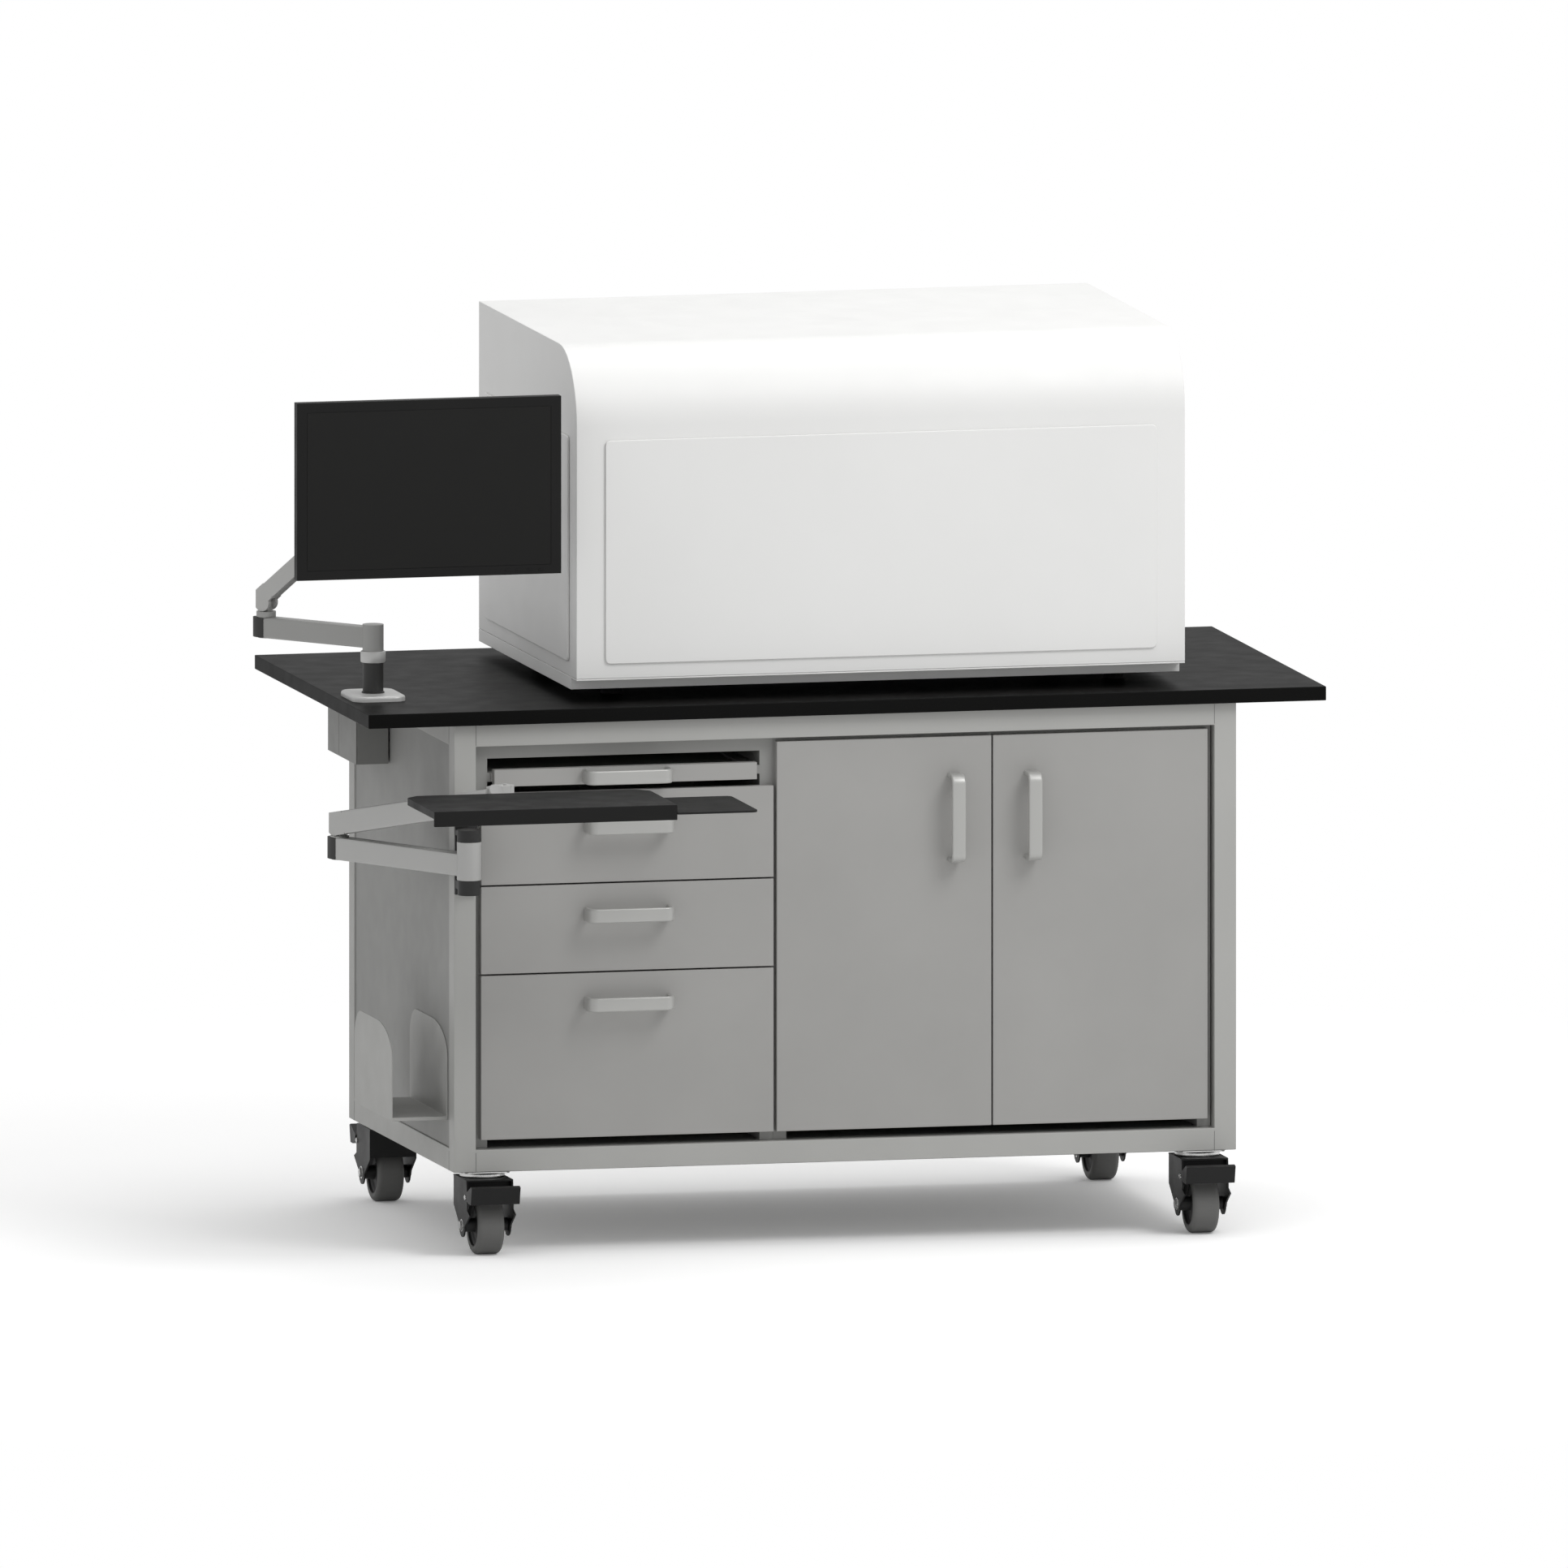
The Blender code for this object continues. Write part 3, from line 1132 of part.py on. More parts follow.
def build_monitor_arm(root):
    """Make the monitor's arm, from its base on the worktop to its tilting mount."""
    plate_top = WORKTOP_TOP + SEAM + MONITOR_BASE_THICKNESS
    half_width = MONITOR_BASE_WIDTH / 2
    half_depth = MONITOR_BASE_DEPTH / 2
    outline = rounded(
        MONITOR_BASE_X - half_width, MONITOR_BASE_X + half_width,
        MONITOR_BASE_Y - half_depth, MONITOR_BASE_Y + half_depth, MONITOR_BASE_CORNER)
    foot = (MONITOR_BASE_X, MONITOR_BASE_Y, 0)
    column_top = plate_top + COLUMN_HEIGHT
    base = unite([
        alone(add_prism, outline, "z", WORKTOP_TOP + SEAM, plate_top),
        alone(add_rod, COLUMN_RADIUS, "z", foot, plate_top - SEAM, column_top + SEAM),
        alone(add_rod, COLLAR_RADIUS, "z", foot, column_top, column_top + COLLAR_HEIGHT),
    ])
    make_object("monitor_arm_base", base, ARM_SILVER, parent=root, round_piece=True)

    lower = lower_arm_solid(
        MONITOR_LOWER_LENGTH, MONITOR_HUB_RADIUS, MONITOR_HUB_HEIGHT, MONITOR_ARM_HEIGHT)
    make_object(
        "monitor_lower_arm", lower, ARM_SILVER, MONITOR_POST, arm_turn(MONITOR_LOWER_YAW),
        root, round_piece=True)
    turn = arm_turn(MONITOR_UPPER_YAW)
    make_object("monitor_elbow", elbow_solid(MONITOR_RISE, MONITOR_ELBOW_HEIGHT), ARM_SILVER,
                MONITOR_LIFT, turn, root, round_piece=True)
    make_object(
        "monitor_upper_arm", upper_arm_solid(
            MONITOR_UPPER_LENGTH, MONITOR_UPPER_HEIGHT, MONITOR_UPPER_PITCH, MONITOR_UPPER_LIFT,
            MONITOR_ROOT_FOOT, TONGUE_RADIUS), ARM_SILVER, MONITOR_LIFT,
        arm_turn(MONITOR_UPPER_YAW, MONITOR_UPPER_PITCH), root, round_piece=True)
    make_object(
        "monitor_head", monitor_head_solid(), ARM_SILVER, MONITOR_HEAD, (0, 0, 0), root, round_piece=True)
    make_object(
        "monitor_yoke", monitor_yoke_solid(), BLACK_PLASTIC, MONITOR_PAN, (0, 0, 0), root,
        round_piece=True)


def turned_solid(solid, yaw):
    """Turn a solid about +Z."""
    bmesh.ops.rotate(
        solid, verts=solid.verts, cent=(0, 0, 0), matrix=Matrix.Rotation(math.radians(yaw), 3, "Z"))
    return solid


def add_beam(solid, start, end, width, low, high):
    """Add a level bar between two points of the plan."""
    along = (Vector(end) - Vector(start)).normalized()
    across = Vector((-along.y, along.x)) * width / 2
    corners = [Vector(start) - across, Vector(end) - across, Vector(end) + across, Vector(start) + across]
    add_prism(solid, [tuple(corner) for corner in corners], "z", low, high)


def head_clevis(yaw, low, radius):
    """Make the forward clevis of a level head: two cheeks and a web down to a level."""
    outline = arc((0, 0), (radius, radius), 90, 270, 8)
    outline += [(HEAD_REACH, min(low, -radius)), (HEAD_REACH, radius)]
    sides = cheek_sides()
    solids = [alone(add_prism, outline, "y", near, far) for near, far in sides]
    lap = CHEEK_WIDTH / 2
    solids.append(alone(
        add_box,
        (CHEEK_RADIUS + RUN, sides[0][0] + lap, low),
        (HEAD_REACH - RUN, sides[1][1] - lap, radius - RUN),
    ))
    return [turned_solid(solid, yaw) for solid in solids]


def monitor_head_solid():
    """Make the level head about the arm's end pivot, with the pan pin in front of it."""
    web = heading(MONITOR_UPPER_YAW) * (CHEEK_RADIUS + HEAD_REACH) / 2
    half = PAN_HEIGHT / 2
    neck = alone(
        add_beam, (web.x, web.y), (0, -PAN_OUT), NECK_WIDTH, -CHEEK_RADIUS * 0.8, CHEEK_RADIUS * 0.4)
    pin = alone(add_rod, PAN_RADIUS, "z", (0, -PAN_OUT, 0), -half, half)
    return unite([pin, neck, *head_clevis(MONITOR_UPPER_YAW, -CHEEK_RADIUS + RUN, CHEEK_RADIUS)])


def monitor_yoke_solid():
    """Make the yoke about the pan pin: a cap on the pin, a web and the tilt barrel."""
    cap_bottom = PAN_HEIGHT / 2 + RUN
    web_front = PAN_RADIUS + RUN + YOKE_LUG
    cap = alone(add_rod, PAN_RADIUS, "z", (0, 0, 0), cap_bottom, cap_bottom + YOKE_LUG)
    half = YOKE_WIDTH / 2
    lug = alone(
        add_box, (-half, -web_front, cap_bottom), (half, 0, cap_bottom + YOKE_LUG))
    web = alone(
        add_box,
        (-half, -web_front, -TILT_RADIUS),
        (half, -web_front + YOKE_LUG, cap_bottom + YOKE_LUG / 2),
    )
    bridge = alone(
        add_box,
        (-half, -TILT_OUT, -TILT_RADIUS / 2),
        (half, -web_front + YOKE_LUG / 2, TILT_RADIUS / 2),
    )
    barrel = alone(
        add_rod, TILT_RADIUS, "x", (0, -TILT_OUT, 0), -TILT_WIDTH / 2, TILT_WIDTH / 2, sides=16)
    return unite([cap, lug, web, bridge, barrel])


def build_monitor(root):
    """Make the monitor's housing with its rear mount, its screen and its buttons."""
    centre = MONITOR_TILT
    left = centre.x - MONITOR_WIDTH / 2
    right = centre.x + MONITOR_WIDTH / 2
    bottom = centre.z - MONITOR_HEIGHT / 2
    top = centre.z + MONITOR_HEIGHT / 2
    back = MONITOR_BACK
    front = back - MONITOR_DEPTH
    rim_back = front + MONITOR_RIM_DEPTH
    housing = bmesh.new()
    rim = rectangle(left, right, bottom, top)
    inset = MONITOR_BACK_INSET
    rear = rectangle(left + inset, right - inset, bottom + inset, top - inset)
    glass = rectangle(left + BEZEL_SIDE, right - BEZEL_SIDE, bottom + BEZEL_BOTTOM, top - BEZEL_TOP)
    sink = front + SCREEN_RECESS
    skin(housing, [
        ring_at(housing, rear, "y", back),
        ring_at(housing, rim, "y", rim_back),
        ring_at(housing, rim, "y", front),
        ring_at(housing, glass, "y", front),
        ring_at(housing, glass, "y", sink),
    ])
    half = MOUNT_PLATE / 2
    lap = MOUNT_THICKNESS / 2
    plate_back = back + MOUNT_THICKNESS
    solids = [
        housing,
        alone(
            add_box, (centre.x - half, back - lap, centre.z - half),
            (centre.x + half, plate_back, centre.z + half)),
    ]
    inner = TILT_WIDTH / 2 + RUN
    for low, high in ((-inner - MOUNT_EAR, -inner), (inner, inner + MOUNT_EAR)):
        outline = arc((centre.y, centre.z), (TILT_RADIUS, TILT_RADIUS), -90, 90, 6)
        outline += [(plate_back - lap, centre.z + TILT_RADIUS), (plate_back - lap, centre.z - TILT_RADIUS)]
        solids.append(alone(add_prism, outline, "x", centre.x + low, centre.x + high))
    middle_z = bottom + BEZEL_BOTTOM / 2
    for i in range(BUTTON_COUNT):
        x = right - BEZEL_SIDE * 2 - i * BUTTON_PITCH
        solids.append(alone(
            add_box,
            (x - BUTTON_WIDTH / 2, front - BUTTON_PROUD, middle_z - BUTTON_HEIGHT / 2),
            (x + BUTTON_WIDTH / 2, front + BUTTON_PROUD, middle_z + BUTTON_HEIGHT / 2),
        ))
    body = make_object("monitor_housing", about(unite(solids), centre), BLACK_PLASTIC, centre, parent=root)

    screen = bmesh.new()
    add_box(
        screen,
        (left + BEZEL_SIDE + SEAM, sink - SEAM - SCREEN_THICKNESS, bottom + BEZEL_BOTTOM + SEAM),
        (right - BEZEL_SIDE - SEAM, sink - SEAM, top - BEZEL_TOP - SEAM),
    )
    make_object("monitor_screen", about(screen, centre), SCREEN_GLASS, parent=body)


def build_keyboard_arm(root):
    """Make the keyboard's arm, from its bracket on the front left post to its head."""
    post_top = KEYBOARD_POST.z + KEYBOARD_HUB_HEIGHT + SEAM
    cap_top = post_top + POST_CAP_HEIGHT
    plate_back = FRAME_FRONT - SEAM
    plate = bmesh.new()
    add_box(
        plate,
        (-FRAME_X, plate_back - BRACKET_PLATE, POST_BOTTOM - BRACKET_MARGIN),
        (-OPENING_X, plate_back, cap_top + BRACKET_MARGIN),
    )
    solids = [plate]
    axis = (POST_X, POST_Y, 0)
    for radius, low, high in (
        (POST_FOOT_RADIUS, POST_BOTTOM, KEYBOARD_POST.z - SEAM),
        (POST_CAP_RADIUS, post_top, cap_top),
    ):
        cap = bmesh.new()
        add_rod(cap, radius, "z", axis, low, high)
        lug = bmesh.new()
        add_box(
            lug,
            (POST_X - LUG_WIDTH / 2, POST_Y, low + BRACKET_MARGIN),
            (POST_X + LUG_WIDTH / 2, plate_back - BRACKET_PLATE / 2, high - BRACKET_MARGIN),
        )
        solids += [cap, lug]
    make_object("keyboard_arm_bracket", unite(solids), BLACK_PLASTIC, parent=root, round_piece=True)

    lower = lower_arm_solid(
        KEYBOARD_LOWER_LENGTH, KEYBOARD_HUB_RADIUS, KEYBOARD_HUB_HEIGHT, KEYBOARD_ARM_HEIGHT,
        KEYBOARD_ARM_DROP)
    make_object(
        "keyboard_lower_arm", lower, ARM_SILVER, KEYBOARD_POST, arm_turn(KEYBOARD_LOWER_YAW),
        root, round_piece=True)
    turn = arm_turn(KEYBOARD_UPPER_YAW)
    make_object("keyboard_elbow", elbow_solid(KEYBOARD_RISE, KEYBOARD_ELBOW_HEIGHT), ARM_SILVER,
                KEYBOARD_LIFT, turn, root, round_piece=True)
    make_object(
        "keyboard_upper_arm", upper_arm_solid(
            KEYBOARD_UPPER_LENGTH, KEYBOARD_UPPER_HEIGHT, KEYBOARD_UPPER_PITCH, KEYBOARD_UPPER_LIFT,
            KEYBOARD_ROOT_FOOT, KEYBOARD_KNUCKLE, KEYBOARD_UPPER_SAG), ARM_SILVER, KEYBOARD_LIFT,
        arm_turn(KEYBOARD_UPPER_YAW, KEYBOARD_UPPER_PITCH), root, round_piece=True)

    under = -HEAD_DROP - RUN
    low = under - HEAD_PLATE_THICKNESS
    left = -ELBOW_RADIUS * 2 / 3
    plate = alone(
        add_box,
        (left, -TRAY_OFFSET_Y - HEAD_PLATE_DEPTH, low),
        (left + HEAD_PLATE_WIDTH, -CHEEK_RADIUS / 2, under),
    )
    head = unite([plate, *head_clevis(KEYBOARD_UPPER_YAW, low + HEAD_PLATE_THICKNESS / 2, HEAD_CLEVIS_RADIUS)])
    make_object(
        "keyboard_head", head, ARM_SILVER, KEYBOARD_HEAD, (0, 0, 0), root, round_piece=True)


def tray_outline():
    """Give the keyboard tray's outline, with its two rear corners cut off."""
    shoulder = TRAY_REAR - TRAY_CHAMFER
    return [
        (TRAY_LEFT, TRAY_FRONT), (TRAY_RIGHT, TRAY_FRONT), (TRAY_RIGHT, shoulder),
        (TRAY_RIGHT - TRAY_CHAMFER, TRAY_REAR), (TRAY_LEFT + TRAY_CHAMFER, TRAY_REAR),
        (TRAY_LEFT, shoulder)]


def build_tray(root):
    """Make the keyboard tray and the mouse platform that slides out from under it."""
    pivot = Vector((KEYBOARD_HEAD.x + TRAY_OFFSET_X, TRAY_REAR - HEAD_PLATE_DEPTH / 2, TRAY_UNDER))
    lap = TRAY_BOARD / 2
    tray = unite([
        alone(add_prism, tray_outline(), "z", TRAY_UNDER, TRAY_UNDER + TRAY_BOARD),
        alone(
            add_box,
            (TRAY_LEFT, TRAY_FRONT, TRAY_UNDER - TRAY_SKIRT),
            (TRAY_RIGHT, TRAY_FRONT + TRAY_LIP, TRAY_UNDER + lap),
        ),
    ])
    holder = make_object("keyboard_tray", about(tray, pivot), BLACK_PLASTIC, pivot, parent=root)

    platform = bmesh.new()
    left = TRAY_RIGHT + RUN
    right = left + PLATFORM_WIDTH
    low = TRAY_UNDER - SEAM - PLATFORM_THICKNESS
    high = TRAY_UNDER - SEAM
    front = TRAY_FRONT
    rear = front + PLATFORM_DEPTH
    corner = (PLATFORM_CORNER, PLATFORM_CORNER)
    tongue_left = left - PLATFORM_TONGUE
    inset = PLATFORM_TONGUE_INSET
    outline = [(left, front)]
    outline += arc((right - PLATFORM_CORNER, front + PLATFORM_CORNER), corner, -90, 0, 3)
    outline += arc((right - PLATFORM_CORNER, rear - PLATFORM_CORNER), corner, 0, 90, 3)
    outline += [(left, rear), (left, rear - inset), (tongue_left, rear - inset)]
    outline += [(tongue_left, front + inset), (left, front + inset)]
    add_prism(platform, outline, "z", low, high)
    make_object("mouse_platform", about(platform, pivot), BLACK_PLASTIC, parent=holder)


def main():
    """Build the whole bench."""
    clear_scene()
    root = bpy.data.objects.new("bench_datum", None)
    root.location = (-OUTLINE_MIDDLE_X, -OUTLINE_MIDDLE_Y, 0)
    bpy.context.collection.objects.link(root)
    build_worktop(root)
    build_frame(root)
    build_outer_panels(root)
    build_cupboard(root)
    build_drawers(root)
    build_doors(root)
    build_holder(root)
    build_outlet_box(root)
    build_enclosure_base(root)
    build_enclosure_cover(root)
    build_access_panels(root)
    build_casters(root)
    build_monitor_arm(root)
    build_monitor(root)
    build_keyboard_arm(root)
    build_tray(root)


main()
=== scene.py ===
"""Looks of the mobile laboratory bench: finishes, eased edges, small fittings and the studio.

Metres, +Z up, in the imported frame's own coordinates. Every place is worked out
from the frame's boxes and joints. The photograph's view is orthographic.
"""

import json
import logging
import math
from dataclasses import dataclass, replace
from enum import Enum
from typing import Iterable, Sequence

import bmesh
import bpy
from mathutils import Matrix, Vector


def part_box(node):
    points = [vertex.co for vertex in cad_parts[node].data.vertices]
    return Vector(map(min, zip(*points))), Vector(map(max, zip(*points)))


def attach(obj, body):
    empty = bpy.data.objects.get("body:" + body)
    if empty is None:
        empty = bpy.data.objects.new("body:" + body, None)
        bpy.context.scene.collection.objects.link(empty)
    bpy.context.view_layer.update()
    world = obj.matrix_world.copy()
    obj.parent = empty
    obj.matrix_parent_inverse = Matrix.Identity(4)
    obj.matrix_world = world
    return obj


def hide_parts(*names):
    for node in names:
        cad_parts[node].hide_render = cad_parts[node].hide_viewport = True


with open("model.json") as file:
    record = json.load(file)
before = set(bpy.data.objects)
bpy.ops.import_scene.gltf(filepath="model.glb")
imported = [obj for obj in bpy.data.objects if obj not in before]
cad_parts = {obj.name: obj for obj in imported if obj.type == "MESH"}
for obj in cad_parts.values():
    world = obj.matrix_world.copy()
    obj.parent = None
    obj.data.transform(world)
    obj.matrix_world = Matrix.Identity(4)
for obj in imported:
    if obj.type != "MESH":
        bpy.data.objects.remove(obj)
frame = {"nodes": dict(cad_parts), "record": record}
LOG = logging.getLogger("bench")
SKIN = 0.0003  # how far a fitted shell stands outside the solid it covers
ROUND_STEPS = 96
WELD_REACH = 0.00001  # corners nearer than this are one corner
FLAT_ANGLE = 0.4  # faces that meet flatter than this, in degrees, are one face
NOISE_BAND = (0.3, 0.7)  # the stretch in which nearly all of a noise lies
MOTTLE_SCALE = 4.0  # patches of colour per metre
SHEEN_SCALE = 18.0  # patches of sheen per metre
WAVE_SCALE = 7.0  # slow waves per metre
Profile = Sequence[tuple[float, float]]
Stretch = tuple[float, float, float]


class Axis(Enum):
    """The three axes that a piece is turned or extruded along."""

    X = Matrix(((0, 0, 1), (1, 0, 0), (0, 1, 0)))
    Y = Matrix(((1, 0, 0), (0, 0, 1), (0, -1, 0)))
    Z = Matrix.Identity(3)


class Slot(Enum):
    """The record's material slots."""

    FRAME = "frame_grey"
    FRONT = "front_grey"
    PANEL = "panel_grey"
    BOARD = "board_grey"
    WORKTOP = "worktop_black"
    HANDLE = "handle_satin"
    ENCLOSURE = "enclosure_white"
    ARM = "arm_silver"
    PLASTIC = "black_plastic"
    CASTER = "caster_black"
    TREAD = "tread_grey"
    SCREEN = "screen_glass"


class Graph:
    """One material's shader nodes, with short calls for the ones used here."""

    def __init__(self, name: str) -> None:
        """Start an empty material and its object coordinates."""
        self.material = bpy.data.materials.new(name)
        self.material.use_nodes = True
        self.tree = self.material.node_tree
        self.tree.nodes.clear()
        self.place = self.add("ShaderNodeTexCoord").outputs["Object"]

    def add(self, kind: str, **settings: object) -> bpy.types.Node:
        """Add a node and set its properties."""
        node = self.tree.nodes.new(kind)
        for key, value in settings.items():
            setattr(node, key, value)
        return node

    def feed(self, socket: bpy.types.NodeSocket, value: object) -> None:
        """Join a socket to an output, or give it a constant."""
        if isinstance(value, bpy.types.NodeSocket):
            self.tree.links.new(value, socket)
        else:
            socket.default_value = value

    def noise(self, scale: float, detail: float = 2.0, draw: Stretch = (1.0, 1.0, 1.0)) -> object:
        """Give a noise value over the object.

        Args:
            scale: Features per metre.
            detail: Octaves of finer noise.
            draw: One factor per axis; a small factor draws the noise out.

        Returns:
            The noise output, 0 to 1 about 0.5.
        """
        mapping = self.add("ShaderNodeMapping")
        self.feed(mapping.inputs["Vector"], self.place)
        mapping.inputs["Scale"].default_value = draw
        noise = self.add("ShaderNodeTexNoise")
        self.feed(noise.inputs["Vector"], mapping.outputs["Vector"])
        noise.inputs["Scale"].default_value = scale
        noise.inputs["Detail"].default_value = detail
        return noise.outputs["Fac"]

    def remap(self, value: object, low: float, high: float, start: float = 0.0, end: float = 1.0) -> object:
        """Carry a value from start–end to low–high, clamped."""
        node = self.add("ShaderNodeMapRange")
        self.feed(node.inputs["Value"], value)
        for name, number in (("From Min", start), ("From Max", end), ("To Min", low), ("To Max", high)):
            node.inputs[name].default_value = number
        return node.outputs["Result"]

    def scaled(self, colour: object, factor: object) -> object:
        """Give a colour multiplied by a value."""
        node = self.add("ShaderNodeVectorMath", operation="SCALE")
        self.feed(node.inputs[0], colour)
        self.feed(node.inputs["Scale"], factor)
        return node.outputs["Vector"]

    def mixed(self, factor: object, first: object, second: object) -> object:
        """Give a blend of two colours."""
        node = self.add("ShaderNodeMix", data_type="RGBA")
        self.feed(node.inputs["Factor"], factor)
        self.feed(node.inputs["A"], first)
        self.feed(node.inputs["B"], second)
        return node.outputs["Result"]

    def bump(self, height: object, depth: float, before: object = None) -> object:
        """Give a normal raised by a height value of a real depth, over an earlier normal if there is one."""
        node = self.add("ShaderNodeBump")
        node.inputs["Strength"].default_value = 1.0
        node.inputs["Distance"].default_value = depth
        self.feed(node.inputs["Height"], height)
        if before is not None:
            self.feed(node.inputs["Normal"], before)
        return node.outputs["Normal"]

    def close(self, shader: object) -> bpy.types.Material:
        """Join the last shader to the output and give the material."""
        output = self.add("ShaderNodeOutputMaterial")
        self.feed(output.inputs["Surface"], shader)
        return self.material


@dataclass(frozen=True)
class Finish:
    """A coated, moulded or laminated surface, with a little life in its colour and sheen.

    Attributes:
        name: The material's name.
        colour: Base colour, linear.
        roughness: Middle roughness.
        metallic: Metallic share.
        mottle: Share by which the colour wanders over hand-sized areas.
        grain: Depth of the fine grain, in metres.
        grain_scale: Grains per metre.
        wave: Depth of the slow unevenness that bends reflections, in metres.
        sheen_spread: Spread of the roughness.
        reflectance: Specular level.
    """

    name: str
    colour: tuple[float, float, float]
    roughness: float
    metallic: float = 0.0
    mottle: float = 0.03
    grain: float = 0.00004
    grain_scale: float = 900.0
    wave: float = 0.0
    sheen_spread: float = 0.06
    reflectance: float = 0.5

    def tint(self, graph: Graph) -> object:
        """Give the colour, wandering a little."""
        wander = graph.remap(graph.noise(MOTTLE_SCALE, 4.0), 1 - self.mottle, 1 + self.mottle, *NOISE_BAND)
        return graph.scaled(self.colour, wander)

    def relief(self, graph: Graph) -> object:
        """Give the normal with the fine grain and the slow unevenness."""
        normal = graph.bump(graph.noise(self.grain_scale, 3.0), self.grain)
        if self.wave:
            normal = graph.bump(graph.noise(WAVE_SCALE, 1.0), self.wave, normal)
        return normal

    def dress(self, graph: Graph, shader: bpy.types.Node) -> None:
        """Set what one kind of finish adds to the shader."""

    def build(self) -> bpy.types.Material:
        """Make the material."""
        graph = Graph(self.name)
        shader = graph.add("ShaderNodeBsdfPrincipled")
        graph.feed(shader.inputs["Base Color"], self.tint(graph))
        low, high = self.roughness - self.sheen_spread, self.roughness + self.sheen_spread
        sheen = graph.remap(graph.noise(SHEEN_SCALE, 4.0), low, high, *NOISE_BAND)
        graph.feed(shader.inputs["Roughness"], sheen)
        graph.feed(shader.inputs["Normal"], self.relief(graph))
        shader.inputs["Metallic"].default_value = self.metallic
        shader.inputs["Specular IOR Level"].default_value = self.reflectance
        self.dress(graph, shader)
        return graph.close(shader.outputs["BSDF"])


@dataclass(frozen=True)
class BrushedFinish(Finish):
    """Satin metal with fine lines drawn out along one axis."""

    line_scale: float = 700.0
    line_depth: float = 0.00003
    draw: Stretch = (0.03, 1.0, 1.0)

    def relief(self, graph: Graph) -> object:
        """Give the normal with the drawn lines."""
        return graph.bump(graph.noise(self.line_scale, 3.0, self.draw), self.line_depth)


@dataclass(frozen=True)
class SpeckledFinish(Finish):
    """Cast resin with faint pale specks and wiping marks."""

    speck_scale: float = 420.0
    speck_colour: tuple[float, float, float, float] = (0.02, 0.02, 0.02, 1.0)
    speck_share: float = 0.35
    speck_band: tuple[float, float] = (0.62, 0.72)

    def tint(self, graph: Graph) -> object:
        """Give the wandering colour with specks in it."""
        specks = graph.remap(graph.noise(self.speck_scale, 2.0), 0.0, self.speck_share, *self.speck_band)
        return graph.mixed(specks, super().tint(graph), self.speck_colour)


@dataclass(frozen=True)
class ScreenFinish(Finish):
    """A matt-coated display, with a painted reflection that lightens it faintly towards the top."""

    painted_reflection: float = 0.25
    painted_reflection_from: float = 1.2
    painted_reflection_to: float = 1.6
    coat: float = 0.15
    coat_roughness: float = 0.35

    def tint(self, graph: Graph) -> object:
        """Give the dark colour with a painted reflection that rises slowly with the height."""
        parts = graph.add("ShaderNodeSeparateXYZ")
        graph.feed(parts.inputs["Vector"], graph.place)
        # painted reflection: the display's colour is scaled up with the height, standing in for the bright
        # surroundings that it reflects
        rise = graph.remap(parts.outputs["Z"], 1.0, 1.0 + self.painted_reflection, self.painted_reflection_from, self.painted_reflection_to)
        return graph.scaled(super().tint(graph), rise)

    def dress(self, graph: Graph, shader: bpy.types.Node) -> None:
        """Add the anti-glare coat."""
        shader.inputs["Coat Weight"].default_value = self.coat
        shader.inputs["Coat Roughness"].default_value = self.coat_roughness


@dataclass(frozen=True)
class FloorFinish:
    """A pale studio floor that keeps the bench's shadow and melts into the white background.

    Attributes:
        colour: Diffuse colour.
        seen_gain: Factor by which the camera sees it brighter, which keeps the lit floor white.
        lift: Share of plain white that the camera sees added to it, which softens the shadow.
        near: Distance from the middle at which the white begins to take over, in metres.
        far: Distance at which the camera sees plain white.
    """

    colour: tuple[float, float, float] = (0.92, 0.92, 0.92)
    seen_gain: float = 1.36
    lift: float = 0.113
    near: float = 1.8
    far: float = 3.4

    def build(self) -> bpy.types.Material:
        """Make the material."""
        graph = Graph("floor_pale")
        seen = graph.add("ShaderNodeLightPath").outputs["Is Camera Ray"]
        diffuse = graph.add("ShaderNodeBsdfDiffuse")
        tone = graph.remap(graph.noise(1.5, 3.0), 0.985, 1.0, *NOISE_BAND)
        gain = graph.remap(seen, 1.0, self.seen_gain)
        graph.feed(diffuse.inputs["Color"], graph.scaled(graph.scaled(self.colour, tone), gain))
        white = graph.add("ShaderNodeEmission")
        length = graph.add("ShaderNodeVectorMath", operation="LENGTH")
        graph.feed(length.inputs[0], graph.place)
        share = graph.add("ShaderNodeMath", operation="MULTIPLY")
        whitening = graph.remap(length.outputs["Value"], self.lift, 1.0, self.near, self.far)
        graph.feed(share.inputs[0], whitening)
        graph.feed(share.inputs[1], seen)
        mix = graph.add("ShaderNodeMixShader")
        graph.feed(mix.inputs[0], share.outputs["Value"])
        graph.feed(mix.inputs[1], diffuse.outputs["BSDF"])
        graph.feed(mix.inputs[2], white.outputs["Emission"])
        return graph.close(mix.outputs["Shader"])


POWDER = Finish("powder_grey", (0.415, 0.415, 0.400), 0.48, grain=0.00006, grain_scale=650, wave=0.00006)
SEAM_PAINT = replace(POWDER, name="weld_line", colour=(0.20, 0.20, 0.195), roughness=0.6)
LAMINATE = Finish(
    "laminate_front", (0.360, 0.356, 0.345), 0.55, mottle=0.035, grain=0.00002, grain_scale=1500)
PANEL = replace(LAMINATE, name="laminate_panel", colour=(0.300, 0.300, 0.291), roughness=0.58, mottle=0.04)
BOARD = replace(LAMINATE, name="laminate_inside", colour=(0.30, 0.30, 0.29), roughness=0.6, mottle=0.03)
RESIN = SpeckledFinish(
    "resin_black", (0.0036, 0.0036, 0.0034), 0.46, mottle=0.12, grain=0.00001, sheen_spread=0.03,
    reflectance=0.075)
SATIN = BrushedFinish("satin_handle", (0.47, 0.47, 0.455), 0.42, metallic=0.35, mottle=0.02)
SATIN_UPRIGHT = replace(SATIN, name="satin_handle_upright", draw=(1.0, 1.0, 0.03))
